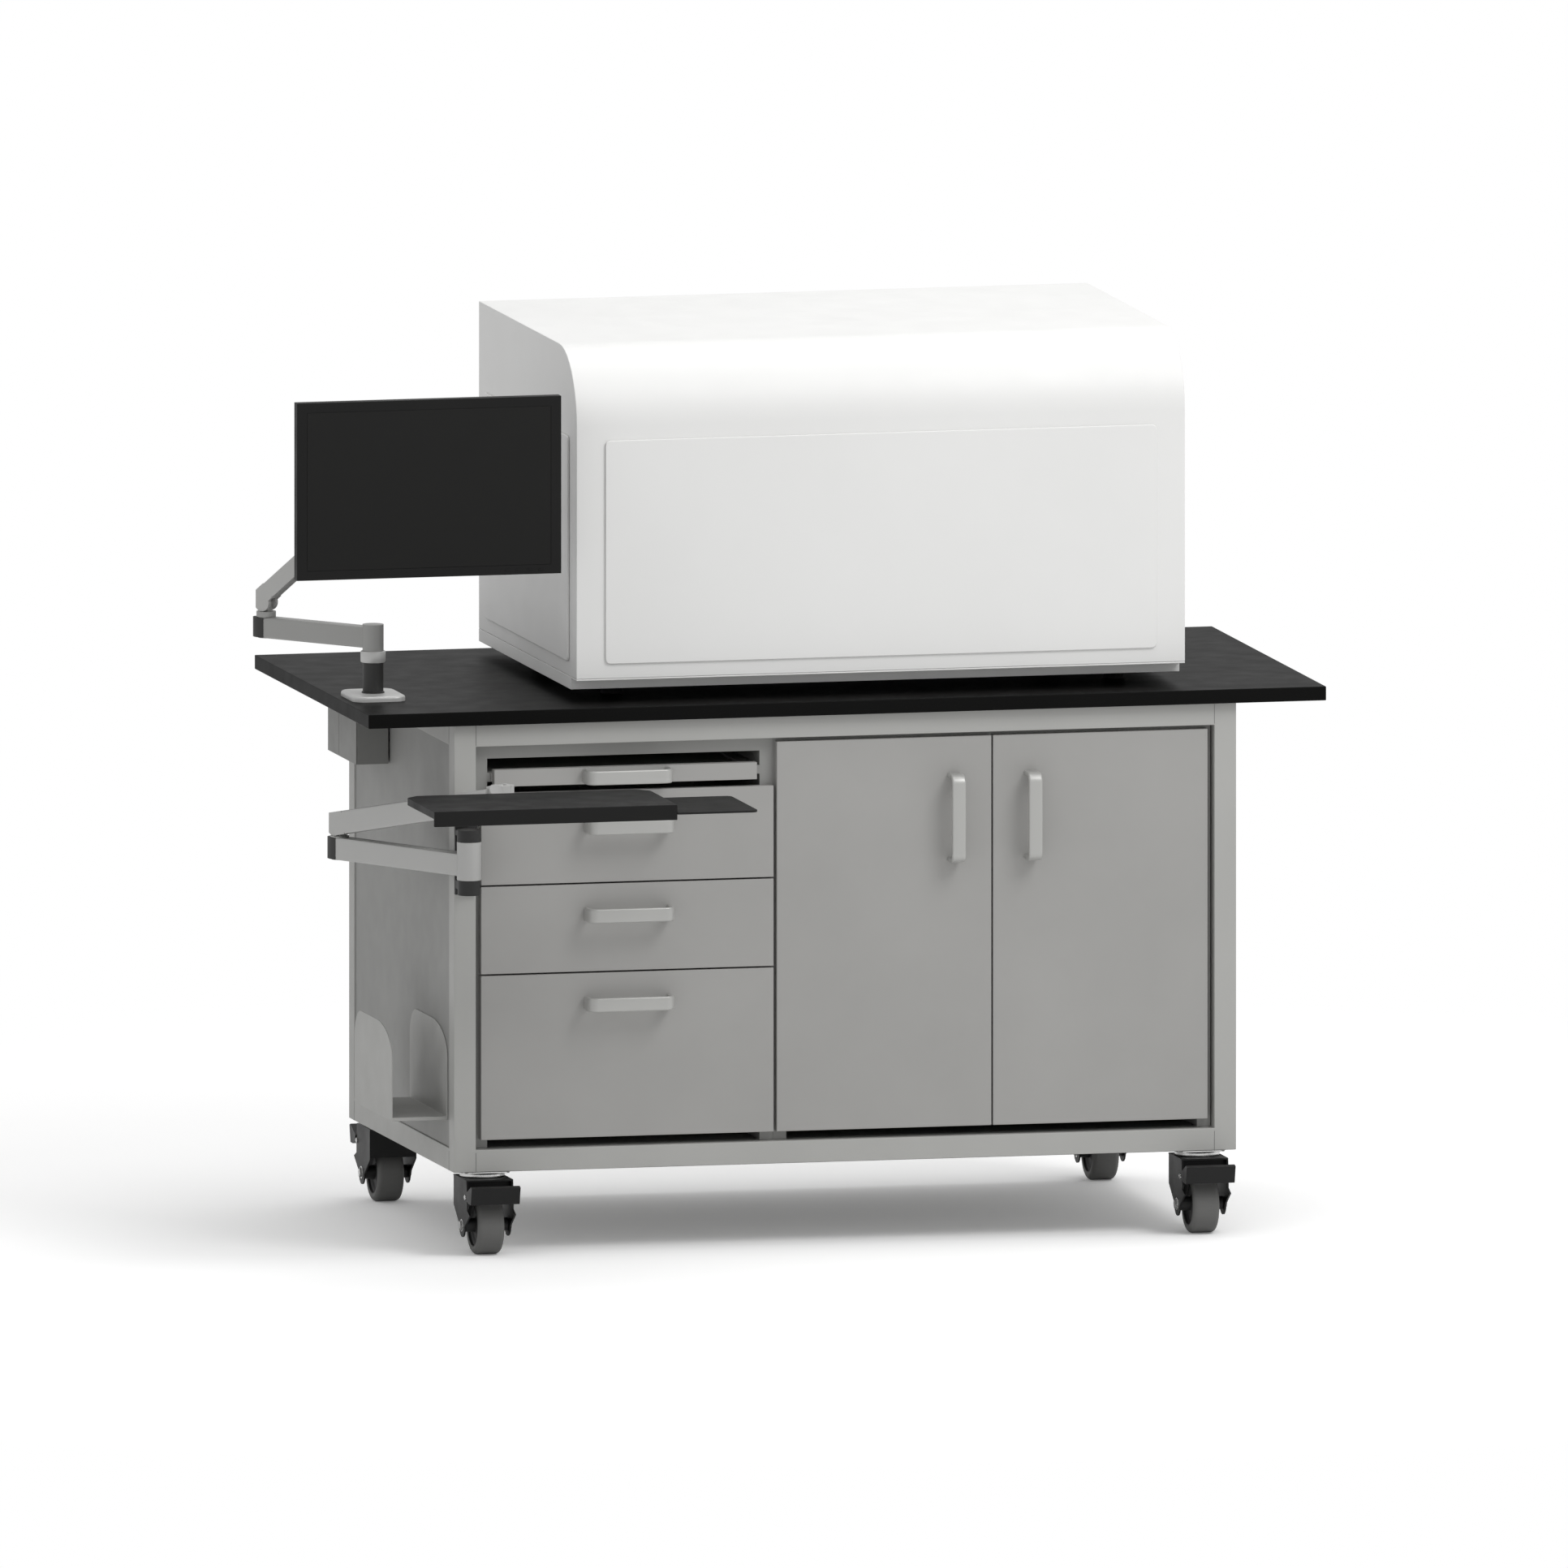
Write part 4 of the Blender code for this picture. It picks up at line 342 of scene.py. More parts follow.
WHITE = Finish(
    "powder_white", (0.815, 0.815, 0.805), 0.45, mottle=0.012, grain=0.00005, grain_scale=700,
    wave=0.00005)
CASTING = Finish("casting_silver", (0.37, 0.37, 0.36), 0.42, metallic=0.3, mottle=0.02, grain=0.00004)
# painted light: the next three are brighter copies of the one silver casting, each part's colour raised to
# stand for how brightly that part is lit
CASTING_PAINTED_LIGHT_HIGH = replace(CASTING, name="casting_painted_light_high", colour=(0.62, 0.62, 0.61))
CASTING_PAINTED_LIGHT_MID = replace(CASTING, name="casting_painted_light_mid", colour=(0.50, 0.50, 0.488))
CASTING_PAINTED_LIGHT_KEYBOARD = replace(CASTING, name="casting_painted_light_keyboard", colour=(0.48, 0.48, 0.47))
# painted shade: the frame's grey darkened to stand in for the shade that falls on the outlet box under the
# worktop
OUTLET_PAINTED_SHADE = replace(POWDER, name="outlet_painted_shade", colour=(0.23, 0.23, 0.222))
DARK_CAP = Finish("cap_charcoal", (0.026, 0.026, 0.025), 0.45, grain=0.00006, grain_scale=800)
MOULDED = Finish(
    "moulded_black", (0.0085, 0.0085, 0.0083), 0.52, mottle=0.08, grain=0.00006, grain_scale=700,
    reflectance=0.20)
BRACKET_PAINT = replace(DARK_CAP, name="bracket_black", colour=(0.0135, 0.0135, 0.013))
FOOT_RUBBER = Finish("foot_rubber", (0.010, 0.010, 0.010), 0.7, mottle=0.08, reflectance=0.2)
MAT = Finish(
    "tray_mat", (0.017, 0.017, 0.0165), 0.75, mottle=0.08, grain=0.00010, grain_scale=1100,
    reflectance=0.2)
DISPLAY = ScreenFinish(
    "display_dark", (0.0090, 0.0090, 0.0086), 0.42, mottle=0.03, grain=0.00001, reflectance=0.12)
CASTER_PAINT = Finish(
    "caster_enamel", (0.0075, 0.0075, 0.0075), 0.40, mottle=0.1, wave=0.00005, reflectance=0.3)
ZINC = BrushedFinish("zinc_bright", (0.72, 0.72, 0.71), 0.24, metallic=1.0, draw=(1.0, 1.0, 0.2))
TREAD = Finish("tread_rubber", (0.128, 0.128, 0.124), 0.62, mottle=0.06, grain=0.00008, grain_scale=600)
HUB = Finish("hub_nylon", (0.020, 0.020, 0.020), 0.5, mottle=0.08)

SLOT_FINISHES = {
    Slot.FRAME: POWDER, Slot.FRONT: LAMINATE, Slot.PANEL: PANEL, Slot.BOARD: BOARD,
    Slot.WORKTOP: RESIN, Slot.HANDLE: SATIN, Slot.ENCLOSURE: WHITE, Slot.ARM: CASTING,
    Slot.PLASTIC: MOULDED, Slot.CASTER: CASTER_PAINT, Slot.TREAD: TREAD, Slot.SCREEN: DISPLAY,
}


@dataclass(frozen=True)
class Easing:
    """How an object's edges are rounded.

    Attributes:
        width: Width of the round, in metres.
        steps: Segments over the round.
        angle: Edges sharper than this are rounded, in degrees.
    """

    width: float = 0.0008
    steps: int = 3
    angle: float = 38.0


class Workshop:
    """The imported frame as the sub-assemblies see it, and the calls that add pieces to it."""

    def __init__(self) -> None:
        """Read the bodies, slots and joints from the record."""
        record = frame["record"]
        self.bodies = {node: body for body, nodes in record["behaviour"]["bodies"].items() for node in nodes}
        self.slots = {item["node"]: Slot(item["material_slot"]) for item in record["subparts"]}
        joints = record["behaviour"]["joints"]
        self.pivots = {joint["name"]: Vector(joint["pos_m"]) for joint in joints if "pos_m" in joint}
        self.materials: dict[str, bpy.types.Material] = {}
        self.count = 0

    def material(self, finish: Finish | FloorFinish) -> bpy.types.Material:
        """Give a finish's material, made once."""
        key = getattr(finish, "name", "floor")
        if key not in self.materials:
            self.materials[key] = finish.build()
        return self.materials[key]

    def centre(self, node: str) -> Vector:
        """Give the middle of a node's box."""
        low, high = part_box(node)
        return (low + high) / 2

    def add(self, name: str, solid: bmesh.types.BMesh, finish: Finish, body: str,
            easing: Easing | None = None, smooth: float = 38.0) -> bpy.types.Object:
        """Make a mesh object from a solid, round its edges and let it ride on a body.

        Args:
            name: The object's name.
            solid: The geometry, in world coordinates. It is freed.
            finish: The surface finish.
            body: The CAD body that it moves with.
            easing: How its edges are rounded, or None.
            smooth: Edges flatter than this are shaded smooth, in degrees.

        Returns:
            The new object.
        """
        mesh = bpy.data.meshes.new(name)
        bmesh.ops.recalc_face_normals(solid, faces=solid.faces)
        solid.to_mesh(mesh)
        solid.free()
        mesh.materials.append(self.material(finish))
        mesh.shade_smooth()
        piece = bpy.data.objects.new(name, mesh)
        bpy.context.scene.collection.objects.link(piece)
        if easing:
            bevel = piece.modifiers.new("ease", "BEVEL")
            bevel.width = easing.width
            bevel.segments = easing.steps
            bevel.limit_method = "ANGLE"
            bevel.angle_limit = math.radians(easing.angle)
            normals = piece.modifiers.new("normals", "WEIGHTED_NORMAL")
            normals.keep_sharp = True
        else:
            mesh.set_sharp_from_angle(angle=math.radians(smooth))
        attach(piece, body)
        self.count += 1
        return piece

    def ease(self, node: str, finish: Finish | None = None, easing: Easing = Easing()) -> bpy.types.Object:
        """Replace a node by a copy with rounded edges and a finish.

        Args:
            node: The CAD node.
            finish: Its finish, or None for its slot's own.
            easing: How its edges are rounded.

        Returns:
            The copy, which rides on the node's body.
        """
        solid = bmesh.new()
        solid.from_mesh(frame["nodes"][node].data)
        bmesh.ops.remove_doubles(solid, verts=solid.verts, dist=WELD_REACH)
        bmesh.ops.dissolve_limit(
            solid, angle_limit=math.radians(FLAT_ANGLE), verts=solid.verts, edges=solid.edges)
        slot = self.slots[node]
        piece = self.add(node + "_eased", solid, finish or SLOT_FINISHES[slot], self.bodies[node], easing)
        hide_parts(node)
        return piece

    def stand_for(self, node: str) -> None:
        """Hide a node, which a piece replaces."""
        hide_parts(node)


class Solid:
    """Shapes made in mesh code, in world coordinates."""

    @staticmethod
    def turned(profile: Profile, centre: Vector, axis: Axis, steps: int = ROUND_STEPS) -> bmesh.types.BMesh:
        """Turn a profile about an axis.

        Args:
            profile: (radius, height) points; a radius of 0 closes an end.
            centre: The point that the heights are measured from.
            axis: The axis of turning.
            steps: Segments round the axis.

        Returns:
            The turned solid.
        """
        solid = bmesh.new()
        rings = []
        for radius, height in profile:
            ring = []
            for step in range(steps if radius else 1):
                turn = math.tau * step / steps
                local = Vector((radius * math.cos(turn), radius * math.sin(turn), height))
                ring.append(solid.verts.new(centre + axis.value @ local))
            rings.append(ring)
        for first, second in zip(rings, rings[1:]):
            for step in range(steps):
                corners = [first[step % len(first)], first[(step + 1) % len(first)],
                           second[(step + 1) % len(second)], second[step % len(second)]]
                solid.faces.new(list(dict.fromkeys(corners)))
        return solid

    @staticmethod
    def prism(outline: Profile, low: float, high: float, centre: Vector, axis: Axis) -> bmesh.types.BMesh:
        """Extrude an outline along an axis, between two heights from a centre."""
        solid = bmesh.new()
        ends = []
        for height in (low, high):
            ends.append([solid.verts.new(centre + axis.value @ Vector((a, b, height))) for a, b in outline])
        solid.faces.new(ends[0][::-1])
        solid.faces.new(ends[1])
        count = len(outline)
        for step in range(count):
            after = (step + 1) % count
            solid.faces.new([ends[0][step], ends[0][after], ends[1][after], ends[1][step]])
        return solid

    @staticmethod
    def block(low: Iterable[float], high: Iterable[float]) -> bmesh.types.BMesh:
        """Make a box between two corners."""
        low, high = Vector(low), Vector(high)
        solid = bmesh.new()
        place = Matrix.Translation((low + high) / 2) @ Matrix.Diagonal((*(high - low), 1.0))
        bmesh.ops.create_cube(solid, size=1.0, matrix=place)
        return solid

    @staticmethod
    def rounded(width: float, height: float, radius: float, steps: int = 8) -> list[tuple[float, float]]:
        """Give a rounded rectangle's outline about the origin."""
        outline = []
        for quarter in range(4):
            across = (width / 2 - radius) * (1 if quarter in (0, 3) else -1)
            up = (height / 2 - radius) * (1 if quarter < 2 else -1)
            for step in range(steps + 1):
                turn = math.radians(90 * (quarter + step / steps))
                outline.append((across + radius * math.cos(turn), up + radius * math.sin(turn)))
        return outline

    @staticmethod
    def joined(solids: Iterable[bmesh.types.BMesh]) -> bmesh.types.BMesh:
        """Gather several solids in one mesh."""
        whole = bmesh.new()
        for solid in solids:
            part = bpy.data.meshes.new("part")
            solid.to_mesh(part)
            solid.free()
            whole.from_mesh(part)
            bpy.data.meshes.remove(part)
        return whole

    @staticmethod
    def swept(path: Sequence[Vector], section: Profile, upright: Vector) -> bmesh.types.BMesh:
        """Carry a section along a flat path.

        Args:
            path: The middle line's points.
            section: (across, up) points about the middle line.
            upright: The direction square to the path's plane.

        Returns:
            The swept solid, closed at both ends.
        """
        solid = bmesh.new()
        rings = []
        for index, point in enumerate(path):
            before = path[max(index - 1, 0)]
            after = path[min(index + 1, len(path) - 1)]
            across = (after - before).normalized().cross(upright)
            rings.append([solid.verts.new(point + across * a + upright * b) for a, b in section])
        for first, second in zip(rings, rings[1:]):
            for step in range(len(section)):
                after = (step + 1) % len(section)
                solid.faces.new([first[step], first[after], second[after], second[step]])
        solid.faces.new(rings[0][::-1])
        solid.faces.new(rings[-1])
        return solid


@dataclass
class Worktop:
    """The dark resin slab."""

    edge: float = 0.0015

    def build(self, shop: Workshop) -> None:
        """Round the slab's edges."""
        shop.ease("worktop", easing=Easing(self.edge, 4))
        LOG.info("worktop: eased slab")


@dataclass
class FrameAndPanels:
    """The welded frame with its weld lines, and the panels set into it."""

    tube: float = 0.041
    edge: float = 0.0022
    line_width: float = 0.0011
    line_proud: float = 0.00025
    panel_edge: float = 0.0012
    panel_lap: float = 0.0033
    screw_radius: float = 0.0045
    screw_inset: float = 0.030

    def build(self, shop: Workshop) -> None:
        """Round the tubes, draw the weld lines and finish the panels."""
        shop.ease("frame", easing=Easing(self.edge, 4))
        for panel in ("side_panel_left", "side_panel_right", "rear_panel"):
            shop.ease(panel, easing=Easing(self.panel_edge, 3))
        self.weld_lines(shop)
        self.rear_screws(shop)
        LOG.info("frame: eased tubes, weld lines and panels")

    def weld_lines(self, shop: Workshop) -> None:
        """Lay a thin line over each joint of a rail and a post."""
        low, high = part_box("frame")
        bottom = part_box("side_panel_left")[0].z - self.panel_lap
        levels = ((high.z - self.tube, high.z), (bottom - self.tube, bottom))
        half = self.line_width / 2
        lines = []
        for first, last in levels:
            first += self.edge
            last -= self.edge
            for x in (low.x + self.tube, high.x - self.tube):
                for y, way in ((low.y, -1), (high.y, 1)):
                    near, far = sorted((y, y + way * self.line_proud))
                    lines.append(Solid.block((x - half, near, first), (x + half, far, last)))
            for y in (low.y + self.tube, high.y - self.tube):
                for x, way in ((low.x, -1), (high.x, 1)):
                    near, far = sorted((x, x + way * self.line_proud))
                    lines.append(Solid.block((near, y - half, first), (far, y + half, last)))
        shop.add("weld_lines", Solid.joined(lines), SEAM_PAINT, "root")

    def rear_screws(self, shop: Workshop) -> None:
        """Set six domed screws in the rear panel."""
        low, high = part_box("rear_panel")
        radius = self.screw_radius
        profile = [(radius, 0), (radius, 0.0008), (radius * 0.75, 0.0019), (radius * 0.3, 0.0023),
                   (radius * 0.28, 0.0012), (0, 0.0012)]
        screws = []
        for x in (low.x + self.screw_inset, (low.x + high.x) / 2, high.x - self.screw_inset):
            for z in (low.z + self.screw_inset, high.z - self.screw_inset):
                screws.append(Solid.turned(profile, Vector((x, high.y, z)), Axis.Y, 32))
        shop.add("rear_screws", Solid.joined(screws), ZINC, "root")


@dataclass
class Fronts:
    """The cabinets, drawers, doors, pull-out shelf and their handles."""

    edge: float = 0.0012
    board_edge: float = 0.0008
    cabinet_edge: float = 0.0005
    strap: float = 0.008
    bend: float = 0.018
    corner: float = 0.0034
    bend_steps: int = 14

    def build(self, shop: Workshop) -> None:
        """Finish the cabinets and fronts, and model the handles."""
        for node in ("drawer_unit", "cupboard_unit", "cupboard_shelf"):
            shop.ease(node, easing=Easing(self.cabinet_edge, 2))
        for level in ("top", "middle", "bottom"):
            shop.ease(f"drawer_{level}_box", easing=Easing(self.board_edge, 2))
            shop.ease(f"drawer_{level}_front", easing=Easing(self.edge, 3))
            self.handle(shop, f"drawer_{level}_handle", upright=False)
        shop.ease("pullout_shelf", easing=Easing(self.board_edge, 3))
        self.handle(shop, "pullout_handle", upright=False)
        for side in ("left", "right"):
            shop.ease(f"door_{side}", easing=Easing(self.edge, 3))
            self.handle(shop, f"door_{side}_handle", upright=True)
        LOG.info("fronts: cabinets, drawers, doors and six bow handles")

    def handle(self, shop: Workshop, node: str, upright: bool) -> None:
        """Model one bow handle as a strap swept round two bends.

        Args:
            shop: The workshop.
            node: The handle's node, whose box the strap fills.
            upright: Whether the handle stands upright or lies level.
        """
        low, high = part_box(node)
        middle = (low + high) / 2
        along = Vector((0, 0, 1)) if upright else Vector((1, 0, 0))
        across = Vector((1, 0, 0)) if upright else Vector((0, 0, 1))
        half_length = (high - low).dot(along) / 2 - self.strap / 2
        width = (high - low).dot(across)
        outer = low.y + self.strap / 2
        radius = self.bend - self.strap / 2
        path = []
        for way in (-1, 1):
            points = [Vector((middle.x, high.y, middle.z)) + along * way * half_length]
            corner = Vector((middle.x, outer + radius, middle.z)) + along * way * (half_length - radius)
            for step in range(self.bend_steps + 1):
                turn = math.radians(90 * step / self.bend_steps)
                forward = Vector((0, -radius * math.sin(turn), 0))
                points.append(corner + along * way * radius * math.cos(turn) + forward)
            path += points if way < 0 else points[::-1]
        section = Solid.rounded(self.strap, width, self.corner, 5)
        finish = SATIN_UPRIGHT if upright else SATIN
        strap = Solid.swept(path, section, across)
        piece = shop.add(node + "_strap", strap, finish, shop.bodies[node], smooth=50)
        shop.stand_for(node)


@dataclass
class SideFittings:
    """The computer holder and the outlet box on the left side."""

    seam_from_rear: float = 0.087
    seam_width: float = 0.0012
    seam_proud: float = 0.0002
    seam_short: float = 0.002

    def build(self, shop: Workshop) -> None:
        """Round the holder and the box, and draw the lid's joint."""
        shop.ease("computer_holder", easing=Easing(0.0006, 2))
        # the box and its lid take the darkened grey: painted shade under the worktop
        shop.ease("outlet_box", OUTLET_PAINTED_SHADE, Easing(0.0008, 2))
        shop.ease("outlet_box_lid", OUTLET_PAINTED_SHADE, Easing(0.0006, 2))
        low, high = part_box("outlet_box_lid")
        seam = high.y - self.seam_from_rear
        half = self.seam_width / 2
        line = Solid.block(
            (low.x - self.seam_proud, seam - half, low.z + self.seam_short),
            (low.x, seam + half, high.z - self.seam_short))
        shop.add("lid_joint", line, SEAM_PAINT, "root")
        LOG.info("side fittings: computer holder and outlet box")


@dataclass
class Enclosure:
    """The white enclosure on the worktop, its plinth and its access panels."""

    edge: float = 0.0022
    panel_edge: float = 0.0016
    base_edge: float = 0.0010
    bend_angle: float = 30.0
    foot_sole: float = 0.002

    def build(self, shop: Workshop) -> None:
        """Round the sheet edges and finish the panels."""
        shop.ease("enclosure_cover", easing=Easing(self.edge, 4, self.bend_angle))
        base = shop.ease("enclosure_base", easing=Easing(self.base_edge, 2))
        base.data.materials.append(shop.material(FOOT_RUBBER))
        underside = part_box("enclosure_base")[0].z + self.foot_sole
        for face in base.data.polygons:
            if min(base.data.vertices[index].co.z for index in face.vertices) < underside:
                face.material_index = 1
        for side in ("front", "left", "right"):
            shop.ease("access_panel_" + side, easing=Easing(self.panel_edge, 4))
        LOG.info("enclosure: cover, plinth and three access panels")


@dataclass
class EndCap:
    """The dark clip on the round end of a lower arm."""

    inner: float = 0.0152
    across: float = 0.0160
    along: float = 0.0280
    leg: float = 0.005
    steps: int = 20

    def build(self, shop: Workshop, node: str, elbow: str, height: float, drop: float = 0.0) -> None:
        """Wrap the clip round an arm's end.

        Args:
            shop: The workshop.
            node: The arm's node, whose turning joint gives the way it points.
            elbow: The joint at its round end.
            height: The clip's height.
            drop: How far the bar hangs under the middle of its hub.
        """
        end = shop.pivots[elbow]
        post = shop.pivots[node.replace("_lower_arm", "_swivel")]
        low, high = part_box(node)
        heading = Vector((end.x - post.x, end.y - post.y)).normalized()
        aside = Vector((-heading.y, heading.x))
        local = []
        for along, across, way in ((self.along, self.across, 1), (self.inner, self.inner, -1)):
            curve = [(along * math.cos(turn), way * across * math.sin(turn))
                     for turn in (math.pi * (0.5 - step / self.steps) for step in range(self.steps + 1))]
            local += [(-self.leg, way * across), *curve, (-self.leg, -way * across)]
        outline = [tuple(heading * along + aside * across) for along, across in local]
        middle = Vector((end.x, end.y, (low.z + high.z) / 2 - drop))
        cap = Solid.prism(outline, -height / 2, height / 2, middle, Axis.Z)
        shop.add(node + "_cap", cap, DARK_CAP, shop.bodies[node], Easing(0.0003, 2))


@dataclass
class MonitorArm:
    """The silver arm that carries the monitor."""

    plate_thickness: float = 0.010
    plate_corner: float = 0.024
    crown: float = 0.0045
    column_radius: float = 0.019
    column_flare: float = 0.002
    collar_radius: float = 0.023
    collar_edge: float = 0.0012
    collar_height: float = 0.0207
    casting_edge: float = 0.0030
    thin_edge: float = 0.0003
    cap_height: float = 0.0366

    def build(self, shop: Workshop) -> None:
        """Model the base in three pieces and round the castings."""
        self.base(shop)
        shop.ease("monitor_lower_arm", easing=Easing(self.casting_edge, 4))
        # the upper arm takes a brighter copy of the silver: painted light
        shop.ease("monitor_upper_arm", CASTING_PAINTED_LIGHT_MID, Easing(self.thin_edge, 1))
        shop.ease("monitor_elbow", easing=Easing(self.thin_edge, 1))
        shop.ease("monitor_head", easing=Easing(0.0012, 3))
        EndCap().build(shop, "monitor_lower_arm", "monitor_elbow_swivel", self.cap_height)
        shop.ease("monitor_yoke", easing=Easing(0.0010, 3))
        LOG.info("monitor arm: base, column, collar and castings")

    def base(self, shop: Workshop) -> None:
        """Model the crowned base plate, the dark column and the collar."""
        low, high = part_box("monitor_arm_base")
        middle = (low + high) / 2
        foot = Vector((middle.x, middle.y, low.z))
        size = high - low
        plate = self.plate(size.x, size.y, foot)
        # the plate, and the collar below, take the brightest copy of the silver: painted light
        piece = shop.add("monitor_base_plate", plate, CASTING_PAINTED_LIGHT_HIGH, "root", smooth=60)
        shop.stand_for("monitor_arm_base")
        collar_foot = size.z - self.collar_height
        radius = self.column_radius
        flared = radius + self.column_flare
        top = self.plate_thickness
        column = [(flared, top - 0.001), (flared, top + 0.002), (radius, top + 0.003),
                  (radius, collar_foot + 0.001)]
        shop.add("monitor_column", Solid.turned(column, foot, Axis.Z), DARK_CAP, "root")
        outer = self.collar_radius
        ease = self.collar_edge
        collar = [(0, collar_foot), (outer - ease, collar_foot), (outer, collar_foot + ease),
                  (outer, size.z - ease), (outer - ease, size.z), (0, size.z)]
        shop.add("monitor_collar", Solid.turned(collar, foot, Axis.Z), CASTING_PAINTED_LIGHT_HIGH, "root", smooth=50)

    def plate(self, width: float, depth: float, foot: Vector) -> bmesh.types.BMesh:
        """Model the base plate: a rounded slab whose top edge falls away in a soft round."""
        steps = 6
        sections = [(0.0, 0.0)]
        for step in range(steps + 1):
            turn = math.radians(90 * step / steps)
            sections.append((self.crown * (1 - math.cos(turn)),
                             self.plate_thickness - self.crown * (1 - math.sin(turn))))
        solid = bmesh.new()
        rings = []
        for inset, height in sections:
            outline = Solid.rounded(width - 2 * inset, depth - 2 * inset, self.plate_corner - inset)
            rings.append([solid.verts.new(foot + Vector((a, b, height))) for a, b in outline])
        for first, second in zip(rings, rings[1:]):
            for step in range(len(first)):
                after = (step + 1) % len(first)
                solid.faces.new([first[step], first[after], second[after], second[step]])
        solid.faces.new(rings[0][::-1])
        solid.faces.new(rings[-1])
        return solid


@dataclass
class Monitor:
    """The monitor: a moulded housing and its display."""

    edge: float = 0.0012
    vent_count: int = 18
    vent_pitch: float = 0.009
    vent_width: float = 0.0035
    vent_height: float = 0.030
    vent_drop: float = 0.062

    def build(self, shop: Workshop) -> None:
        """Round the housing, finish the display and cut the rear vents."""
        shop.ease("monitor_housing", easing=Easing(self.edge, 3))
        shop.ease("monitor_screen", easing=Easing(0.0004, 2))
        self.vents(shop)
        LOG.info("monitor: housing, display and vents")

    def vents(self, shop: Workshop) -> None:
        """Lay a row of dark slots along the top of the housing's back."""
        low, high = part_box("monitor_housing")
        middle = (low.x + high.x) / 2
        top = high.z - self.vent_drop
        faces = frame["nodes"]["monitor_housing"].data.polygons
        rearward = [face for face in faces if face.normal.y > 0.99]
        back = max(rearward, key=lambda face: face.area).center.y
        slots = []
        for index in range(self.vent_count):
            x = middle + (index - (self.vent_count - 1) / 2) * self.vent_pitch
            outline = Solid.rounded(self.vent_width, self.vent_height, self.vent_width / 2.1, 4)
            place = Vector((x, back, top - self.vent_height / 2))
            slots.append(Solid.prism(outline, -0.0004, 0.0002, place, Axis.Y))
        shop.add("monitor_vents", Solid.joined(slots), HUB, "monitor")


@dataclass
class KeyboardArm:
    """The silver arm, tray and platform that carry a keyboard and a mouse."""

    casting_edge: float = 0.0028
    thin_edge: float = 0.0003
    cap_height: float = 0.0400
    bar_drop: float = 0.0083

    def build(self, shop: Workshop) -> None:
        """Round the bracket, the castings, the tray and the platform."""
        shop.ease("keyboard_arm_bracket", BRACKET_PAINT, Easing(0.0022, 3))
        # the keyboard arm's castings take brighter copies of the silver: painted light
        shop.ease("keyboard_lower_arm", CASTING_PAINTED_LIGHT_KEYBOARD, Easing(self.casting_edge, 4))
        shop.ease("keyboard_upper_arm", CASTING_PAINTED_LIGHT_KEYBOARD, Easing(self.thin_edge, 1))
        shop.ease("keyboard_elbow", CASTING_PAINTED_LIGHT_MID, Easing(self.thin_edge, 1))
        EndCap().build(shop, "keyboard_lower_arm", "keyboard_elbow_swivel", self.cap_height, self.bar_drop)
        shop.ease("keyboard_head", CASTING_PAINTED_LIGHT_HIGH, Easing(0.0012, 3))
        shop.ease("keyboard_tray", easing=Easing(0.0015, 3))
        shop.ease("mouse_platform", MAT, Easing(0.0010, 3))
        LOG.info("keyboard arm: bracket, castings, tray and platform")


